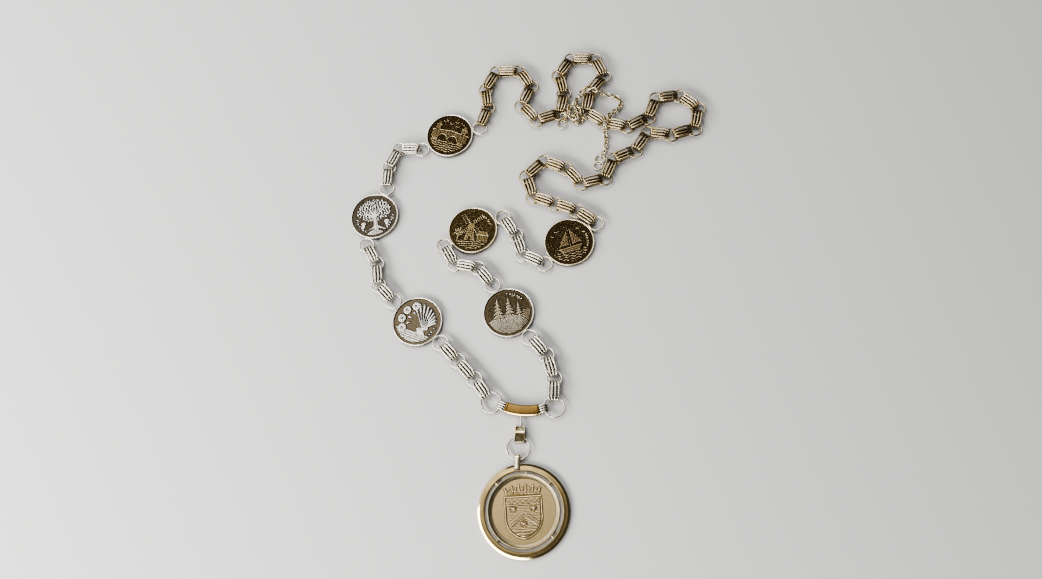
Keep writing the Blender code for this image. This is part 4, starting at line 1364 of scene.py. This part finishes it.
class CHAIN_OT_swivel(bpy.types.Operator):
    """Make the swivel between the bar's pin and the jump ring"""

    bl_idname = "chain.swivel"
    bl_label = "Swivel"

    def execute(self, context):
        low, high = (y * MM for y in SWIVEL_SPAN)
        half, top = SWIVEL_WIDTH / 2, SWIVEL_HEIGHT
        rail, wall, floor_top = 0.5 * MM, 0.7 * MM, top - 1.0 * MM
        shape = bmesh.new()
        groove = shape.verts.layers.float.new("groove")

        def block(x, y, z, ease, shade_strength):
            """A block over three spans, darkened by its painted shade value."""
            before = set(shape.verts)
            add_block(shape, *zip(x, y, z), ease * MM)
            for vert in set(shape.verts) - before:
                vert[groove] = shade_strength

        # Painted shade: each block has its own darkness, light on the left and near rails, dark on the
        # right rail, the end wall towards the bar and the sunken floor.
        block((-half, half), (low, high), (0, wall), 0.15, 0.2)
        block((-half + 0.1 * MM, half - 0.1 * MM), (low + 0.1 * MM, high - 0.1 * MM),
              (floor_top - wall, floor_top), 0, 0.72)
        block((-half, -half + rail), (low, high), (0.1 * MM, top), 0.1, 0.0)
        block((half - rail, half), (low, high), (0.1 * MM, top - 0.1 * MM), 0.15, 0.55)
        block((-half, half), (low, low + rail), (0.13 * MM, top - 0.1 * MM), 0.1, 0.0)
        block((-half, half), (high - wall, high), (0.16 * MM, top - 0.8 * MM), 0.15, 0.62)
        for x in (-half, half - 1.3 * MM):
            block((x, x + 1.3 * MM), (high - 0.9 * MM, high), (0.1 * MM, top), 0.3, 0.05)
        for y in SWIVEL_RIDGES:
            block((-half + rail, half - rail), (y, y + 0.42 * MM),
                  (floor_top - 0.2 * MM, floor_top + 0.3 * MM), 0.14, 0.45)
        for step in range(9):
            x = -half + rail + 0.25 * MM + step * 0.62 * MM
            block((x, x + 0.1 * MM), (low + rail, SWIVEL_FLUTES_END),
                  (floor_top - 0.2 * MM, floor_top + 0.12 * MM), 0.03, 0.5)
        where = Matrix.Translation((0, SWIVEL_BARREL_Y, floor_top)) @ Matrix.Diagonal((1, 1, 0.38, 1))
        barrel = bmesh.ops.create_cone(
            shape, cap_ends=True, segments=40, radius1=1.6 * MM, radius2=1.6 * MM,
            depth=SWIVEL_WIDTH - 2 * rail + 0.1 * MM,
            matrix=where @ Matrix.Rotation(math.pi / 2, 4, "Y"))
        # Painted shade on the barrel: darker on its side towards the jump ring, never fully bright.
        shaded = SWIVEL_BARREL_Y - 0.8 * MM
        for vert in barrel["verts"]:
            vert[groove] = clamped((shaded - vert.co.y) / (0.5 * MM), 0.32, 0.75)
        put("swivel_strap", shape, pale_metal(context), ["swivel"],
            Matrix.Translation((SWIVEL_X * MM, 0, 0)), sharp=40)
        return {"FINISHED"}


class CHAIN_OT_jump_ring(bpy.types.Operator):
    """Make the jump ring between the swivel and the bail"""

    bl_idname = "chain.jump_ring"
    bl_label = "Jump ring"

    def execute(self, context):
        # Painted shade on the ring's sides, weaker than on the other rings.
        ring = ring_mesh("jump_ring", JUMP_RING_RADIUS, JUMP_RING_WIRE, steps=64, shade_strength=0.6)
        put("hanging_ring", ring, front_wire(context), ["jump_ring"],
            place(flat_point(*JUMP_RING_CENTRE, JUMP_RING_LEVEL), 205))
        return {"FINISHED"}


class CHAIN_OT_bail(bpy.types.Operator):
    """Make the bail that holds the pendant's band"""

    bl_idname = "chain.bail"
    bl_label = "Bail"

    def execute(self, context):
        tip, top = (y * MM for y in BAIL_SPAN)
        half_strap = BAIL_STRAP / 2
        edge = math.sqrt(PENDANT_RADIUS ** 2 - (abs(BAIL_X * MM) - BAIL_WIDTH / 2) ** 2) + GAP + half_strap
        upper, lower = BAIL_HEIGHT - half_strap, half_strap
        bend_radius = (upper - lower) / 2
        turn_y = top - half_strap - bend_radius
        path = [(tip + (turn_y - tip) * step / 8, upper) for step in range(8)]
        for step in range(11):
            turn = math.pi / 2 - math.pi * step / 10
            path.append((turn_y + bend_radius * math.cos(turn) * 0.95,
                         lower + bend_radius * (1 + math.sin(turn))))
        path += [(edge, lower), (edge, upper - BAIL_STRAP - 0.02 * MM)]
        shape = bmesh.new()
        grown = outline(shape, [(-BAIL_WIDTH / 2, y, z) for y, z in path], closed=False)
        for _ in range(6):
            edges = [item for item in grown if isinstance(item, bmesh.types.BMEdge)]
            grown = bmesh.ops.extrude_edge_only(shape, edges=edges)["geom"]
            verts = [item for item in grown if isinstance(item, bmesh.types.BMVert)]
            bmesh.ops.translate(shape, verts=verts, vec=(BAIL_WIDTH / 6, 0, 0))
        bmesh.ops.recalc_face_normals(shape, faces=shape.faces)
        bmesh.ops.solidify(shape, geom=shape.faces[:], thickness=BAIL_STRAP)
        shape.normal_update()
        high = max(vert.co.z for vert in shape.verts)
        for vert in shape.verts:
            vert.co.z += BAIL_HEIGHT - high
            if vert.co.z > upper - BAIL_STRAP:
                vert.co.z -= 0.2 * MM * (2 * vert.co.x / BAIL_WIDTH) ** 2
        ease_edges(shape, 0.22 * MM, angle=50)
        put("bail_strap", shape, pale_metal(context), ["bail"],
            Matrix.Translation((BAIL_X * MM, 0, 0)))
        return {"FINISHED"}


class CHAIN_OT_pendant_frame(bpy.types.Operator):
    """Make the pendant's flat band, its milled rim and the pins between them"""

    bl_idname = "chain.pendant_frame"
    bl_label = "Pendant frame"

    def execute(self, context):
        colours = context.scene.chain_colours
        band = [(23.3, 0.15), (23.45, 0.0), (26.9, 0.0), (27.25, 0.25), (27.4, 0.6), (27.4, 1.75),
                (27.34, 1.93), (27.0, 2.13), (26.65, 2.32), (26.3, 2.51), (26.1, 2.62),
                (26.03, 2.65), (25.95, 2.67), (25.8, 2.68), (24.1, 2.70), (23.95, 2.79),
                (23.78, 2.80), (23.55, 2.68), (23.36, 2.50), (23.3, 2.3)]
        shape = bmesh.new()
        add_turned(shape, scaled(band), 200)
        # Polished outer bevel with a painted highlight.
        polish = shape.verts.layers.float.new("polish")
        for vert in shape.verts:
            vert[polish] = vert.co.z > 1.7 * MM and vert.co.xy.length > 26.0 * MM
        gold = made("band_gold", brushed_finish, (0, 0, 0), colours.pale_gold,
                    toned(colours.pale_gold, 0.62), (0.60, 0.48, 0.26))
        put("pendant_band", shape, gold, ["pendant_frame"], sharp=40)

        rim = [(20.35, 0.1), (20.5, 0.0), (21.3, 0.0), (21.5, 0.2), (21.5, 2.35), (21.42, 2.60),
               (21.25, 2.72), (21.05, 2.70), (20.92, 2.52), (20.7, 2.46), (20.3, 2.30),
               (19.9, 2.12), (19.5, 1.96), (19.1, 1.82), (18.8, 1.76), (18.72, 1.72),
               (18.78, 1.68), (20.35, 1.68)]
        milled = bmesh.new()
        add_turned(milled, scaled(rim), RIM_TEETH * 6)
        groove = milled.verts.layers.float.new("groove")
        inner, outer = RIM_MILLED
        # Painted shade and tarnish: the valleys between the teeth, the slope inside the milling and a thin
        # ring outside it are darkened.
        for vert in milled.verts:
            radius = math.hypot(vert.co.x, vert.co.y) / MM
            if inner < radius < outer and vert.co.z > 1.7 * MM:
                turn = math.atan2(vert.co.y, vert.co.x)
                tooth = 0.5 + 0.5 * math.sin(turn * RIM_TEETH + radius * 5.5)
                vert.co.z -= 0.24 * MM * (1 - tooth) * min(1, (radius - inner) / 0.7)
                vert[groove] = 0.9 * (1 - tooth)
            elif radius < inner or outer < radius < outer + 0.2:
                vert[groove] = 0.7
        for degrees in PENDANT_PIN_BEARINGS:
            out = Matrix.Translation((PENDANT_PIN_OUT, 0, PENDANT_PIN_LEVEL))
            where = place(Vector(), degrees) @ out @ Matrix.Rotation(math.pi / 2, 4, "Y")
            bmesh.ops.create_cone(
                milled, cap_ends=True, segments=14, radius1=PENDANT_PIN_RADIUS,
                radius2=PENDANT_PIN_RADIUS, depth=PENDANT_PIN_LENGTH, matrix=where)
        tab = scaled([(20.9, -0.55, 0.8), (22.3, 0.55, 2.70)])
        add_block(milled, *tab, 0.25 * MM, place(Vector(), 86))
        bright = made("rim_gold", brushed_finish, (0, 0, 0), (0.74, 0.64, 0.44),
                      (0.50, 0.40, 0.22), colours.champagne)
        put("pendant_rim", milled, bright, ["pendant_frame"], sharp=75)
        return {"FINISHED"}


class CHAIN_OT_pendant_disc(bpy.types.Operator):
    """Make the pendant's struck disc"""

    bl_idname = "chain.pendant_disc"
    bl_label = "Pendant disc"

    def execute(self, context):
        sizes = context.scene.chain_sizes
        face = Relief(sizes.pendant_steps, PENDANT_SEED)
        draw_shield(face)
        face.finish(0.03)
        shape = relief_shape(face, PENDANT_FACE_RADIUS, PENDANT_FACE_LEVEL, sizes.pendant_relief,
                             PENDANT_CONTRAST)
        finish = made("pendant_relief", relief_finish, (0.55, 0.42, 0.225), (0.385, 0.285, 0.14),
                      (0.76, 0.62, 0.40), (0.12, 0.078, 0.03), 0.5, 0.34, 0.42)
        put("pendant_relief", shape, finish, ["pendant_disc"], sharp=70)
        return {"FINISHED"}


class CHAIN_OT_fine_chain(bpy.types.Operator):
    """Make the fine cable chain across the back run, and the small rings at its ends"""

    bl_idname = "chain.fine_chain"
    bl_label = "Fine chain"

    def execute(self, context):
        sizes, colours = context.scene.chain_sizes, context.scene.chain_colours
        finish = made("fine_wire", wire_finish, colours.champagne, colours.old_gilt,
                      colours.tarnish_and_shade)
        link = self.link(sizes.fine_wire)
        route = smooth_route([flat_point(x, y, z * MM) for x, y, z in FINE_ROUTE], FINE_STEP)
        dice = random.Random(FINE_SEED)
        shape = bmesh.new()
        for index, (here, ahead) in enumerate(zip(route, route[1:])):
            along = (ahead - here).normalized()
            turn = along.to_track_quat("X", "Z").to_matrix().to_4x4()
            roll = math.radians((50 if index % 2 else -40) + dice.uniform(-14, 14))
            where = Matrix.Translation((here + ahead) / 2) @ turn @ Matrix.Rotation(roll, 4, "X")
            stamp(shape, link, where)
        for vert in shape.verts:
            vert.co.z = max(vert.co.z, 0.02 * MM)
        put("fine_links", shape, finish, ["fine_chain"])

        small = ring_mesh("small_ring", FINE_RING_RADIUS, FINE_RING_WIRE, steps=36, sides=8)
        for name, pair in FINE_RINGS.items():
            shape = bmesh.new()
            for ring in pair:
                centre = Matrix.Translation(flat_point(ring.x, ring.y, ring.z * MM))
                tilt = Matrix.Rotation(math.radians(ring.tilt), 4, bearing(ring.bearing))
                stamp(shape, small, centre @ tilt)
            piece = name.replace("fine_chain", "fine_end")
            put(piece, shape, finish, [name])
        return {"FINISHED"}

    def link(self, wire):
        """One small oval link, its long axis along X."""
        turns = [math.tau * step / 14 for step in range(14)]
        points = [(FINE_LINK_HALF_LENGTH * math.cos(turn), FINE_LINK_HALF_WIDTH * math.sin(turn), 0)
                  for turn in turns]
        return wire_mesh("fine_link", points, wire, 8, closed=True)


def smooth_route(points, step):
    """Points at even steps along a Catmull-Rom curve through the route's own points."""
    padded = [points[0] * 2 - points[1]] + points + [points[-1] * 2 - points[-2]]
    dense = []
    for p0, p1, p2, p3 in zip(padded, padded[1:], padded[2:], padded[3:]):
        for index in range(24):
            t = index / 24
            dense.append(0.5 * (
                2 * p1 + (p2 - p0) * t + (2 * p0 - 5 * p1 + 4 * p2 - p3) * t ** 2
                + (3 * p1 - p0 - 3 * p2 + p3) * t ** 3))
    dense.append(points[-1].copy())
    return eased_path(dense, step, 1e6)


def front_wire(context):
    colours = context.scene.chain_colours
    return made("bright_wire", wire_finish, colours.silver, colours.warm_silver, colours.tarnish_and_shade,
                (0.55, 0.85))


def pale_metal(context):
    colours = context.scene.chain_colours
    # Its dark colour is tarnish and the swivel's painted shade.
    return made("champagne_gold", wire_finish, colours.champagne, colours.pale_gold,
                (0.055, 0.038, 0.013), (0.50, 0.75), 0.5)


def link_coil(context):
    sizes = context.scene.chain_sizes
    return coil_mesh("coil", LINK_LENGTH, LINK_HEIGHT, sizes.link_wire, sizes.link_pitch,
                     LINK_WINDING)


# ---- Stage ------------------------------------------------------------------------------
CAMERA_PLACE = (55.65, -39.5, 506.0)
CAMERA_TILT = 20.5
CAMERA_ROLL = 19.7
CAMERA_LENS = 28.95
CAMERA_SHIFT = 6 / 1042
STAGE_MIDDLE = Vector((0.0, 0.14, 0.0))
Softbox = namedtuple("Softbox", "name offset length width power")
SOFTBOXES = (
    Softbox("key_light", (-0.3, 0.5, 1.1), 1.0, 1.0, "key"),
    Softbox("side_light", (-0.62, -0.60, 0.50), 1.8, 0.3, "fill"),
    Softbox("bounce_light", (-0.90, 0.45, 0.35), 1.2, 0.5, "bounce"),
)


class CHAIN_OT_stage(bpy.types.Operator):
    """Set the plain floor, the soft lights and the camera"""

    bl_idname = "chain.stage"
    bl_label = "Stage"

    def execute(self, context):
        self.floor(context)
        self.sky(context)
        for box in SOFTBOXES:
            self.softbox(context, box)
        context.scene.view_settings.look = "AgX - High Contrast"
        self.camera(context)
        return {"FINISHED"}

    def floor(self, context):
        shape = bmesh.new()
        bmesh.ops.create_grid(shape, x_segments=1, y_segments=1, size=3.0)
        bmesh.ops.translate(shape, verts=shape.verts, vec=(0, 0, -0.05 * MM))
        mesh = as_mesh(shape, "floor")
        finish = Finish("floor", roughness=0.8, metallic=0.0)
        mesh.materials.append(finish.surface(context.scene.chain_stage.floor))
        floor = bpy.data.objects.new("floor", mesh)
        context.scene.collection.objects.link(floor)

    def sky(self, context):
        world = bpy.data.worlds.new("sky")
        world.use_nodes = True
        background = world.node_tree.nodes["Background"]
        background.inputs["Color"].default_value = (1.0, 1.0, 1.0, 1.0)
        background.inputs["Strength"].default_value = context.scene.chain_stage.sky
        context.scene.world = world

    def softbox(self, context, box):
        """A soft light that points at the middle of the stage."""
        light = bpy.data.lights.new(box.name, "AREA")
        light.shape = "RECTANGLE"
        light.size = box.length
        light.size_y = box.width
        light.energy = getattr(context.scene.chain_stage, box.power)
        holder = bpy.data.objects.new(box.name, light)
        holder.location = STAGE_MIDDLE + Vector(box.offset)
        towards = STAGE_MIDDLE - holder.location
        holder.rotation_euler = towards.to_track_quat("-Z", "Y").to_euler()
        context.scene.collection.objects.link(holder)

    def camera(self, context):
        """Look down from the front, turned about the vertical, with the frame kept level."""
        camera = bpy.data.cameras.new("camera")
        camera.sensor_width = 36
        camera.lens = CAMERA_LENS
        camera.shift_x = CAMERA_SHIFT
        camera.clip_start = 0.01
        camera.clip_end = 20
        holder = bpy.data.objects.new("camera", camera)
        turned = Matrix.Rotation(math.radians(CAMERA_ROLL), 4, "Z")
        tilted = Matrix.Rotation(math.radians(CAMERA_TILT), 4, "X")
        centre = Matrix.Translation(Vector(CAMERA_PLACE) * MM)
        holder.matrix_world = centre @ turned @ tilted @ turned.inverted()
        context.scene.collection.objects.link(holder)
        context.scene.camera = holder


OPERATORS = (
    CHAIN_OT_stage,
    CHAIN_OT_links,
    CHAIN_OT_rings,
    CHAIN_OT_back_run,
    CHAIN_OT_settings,
    CHAIN_OT_medals,
    CHAIN_OT_bar,
    CHAIN_OT_swivel,
    CHAIN_OT_jump_ring,
    CHAIN_OT_bail,
    CHAIN_OT_pendant_frame,
    CHAIN_OT_pendant_disc,
    CHAIN_OT_fine_chain,
)


class CHAIN_PT_panel(bpy.types.Panel):
    """Sizes, colours and one button for each group of pieces."""

    bl_idname = "CHAIN_PT_panel"
    bl_label = "Chain of office"
    bl_space_type = "VIEW_3D"
    bl_region_type = "UI"
    bl_category = "Chain"

    def draw(self, context):
        layout = self.layout
        for name, group in GROUPS.items():
            box = layout.box()
            for setting in group.__annotations__:
                box.prop(getattr(context.scene, name), setting)
        for operator in OPERATORS:
            layout.operator(operator.bl_idname)


GROUPS = {"chain_sizes": ChainSizes, "chain_colours": ChainColours, "chain_stage": StageSettings}


def register():
    for item in (*GROUPS.values(), *OPERATORS, CHAIN_PT_panel):
        bpy.utils.register_class(item)
    for name, group in GROUPS.items():
        setattr(bpy.types.Scene, name, PointerProperty(type=group))


def unregister():
    for name in GROUPS:
        delattr(bpy.types.Scene, name)
    for item in (CHAIN_PT_panel, *reversed(OPERATORS), *reversed(list(GROUPS.values()))):
        bpy.utils.unregister_class(item)


def main():
    register()
    for operator in OPERATORS:
        family, name = operator.bl_idname.split(".")
        getattr(getattr(bpy.ops, family), name)()
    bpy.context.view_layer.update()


if __name__ == "__main__":
    main()
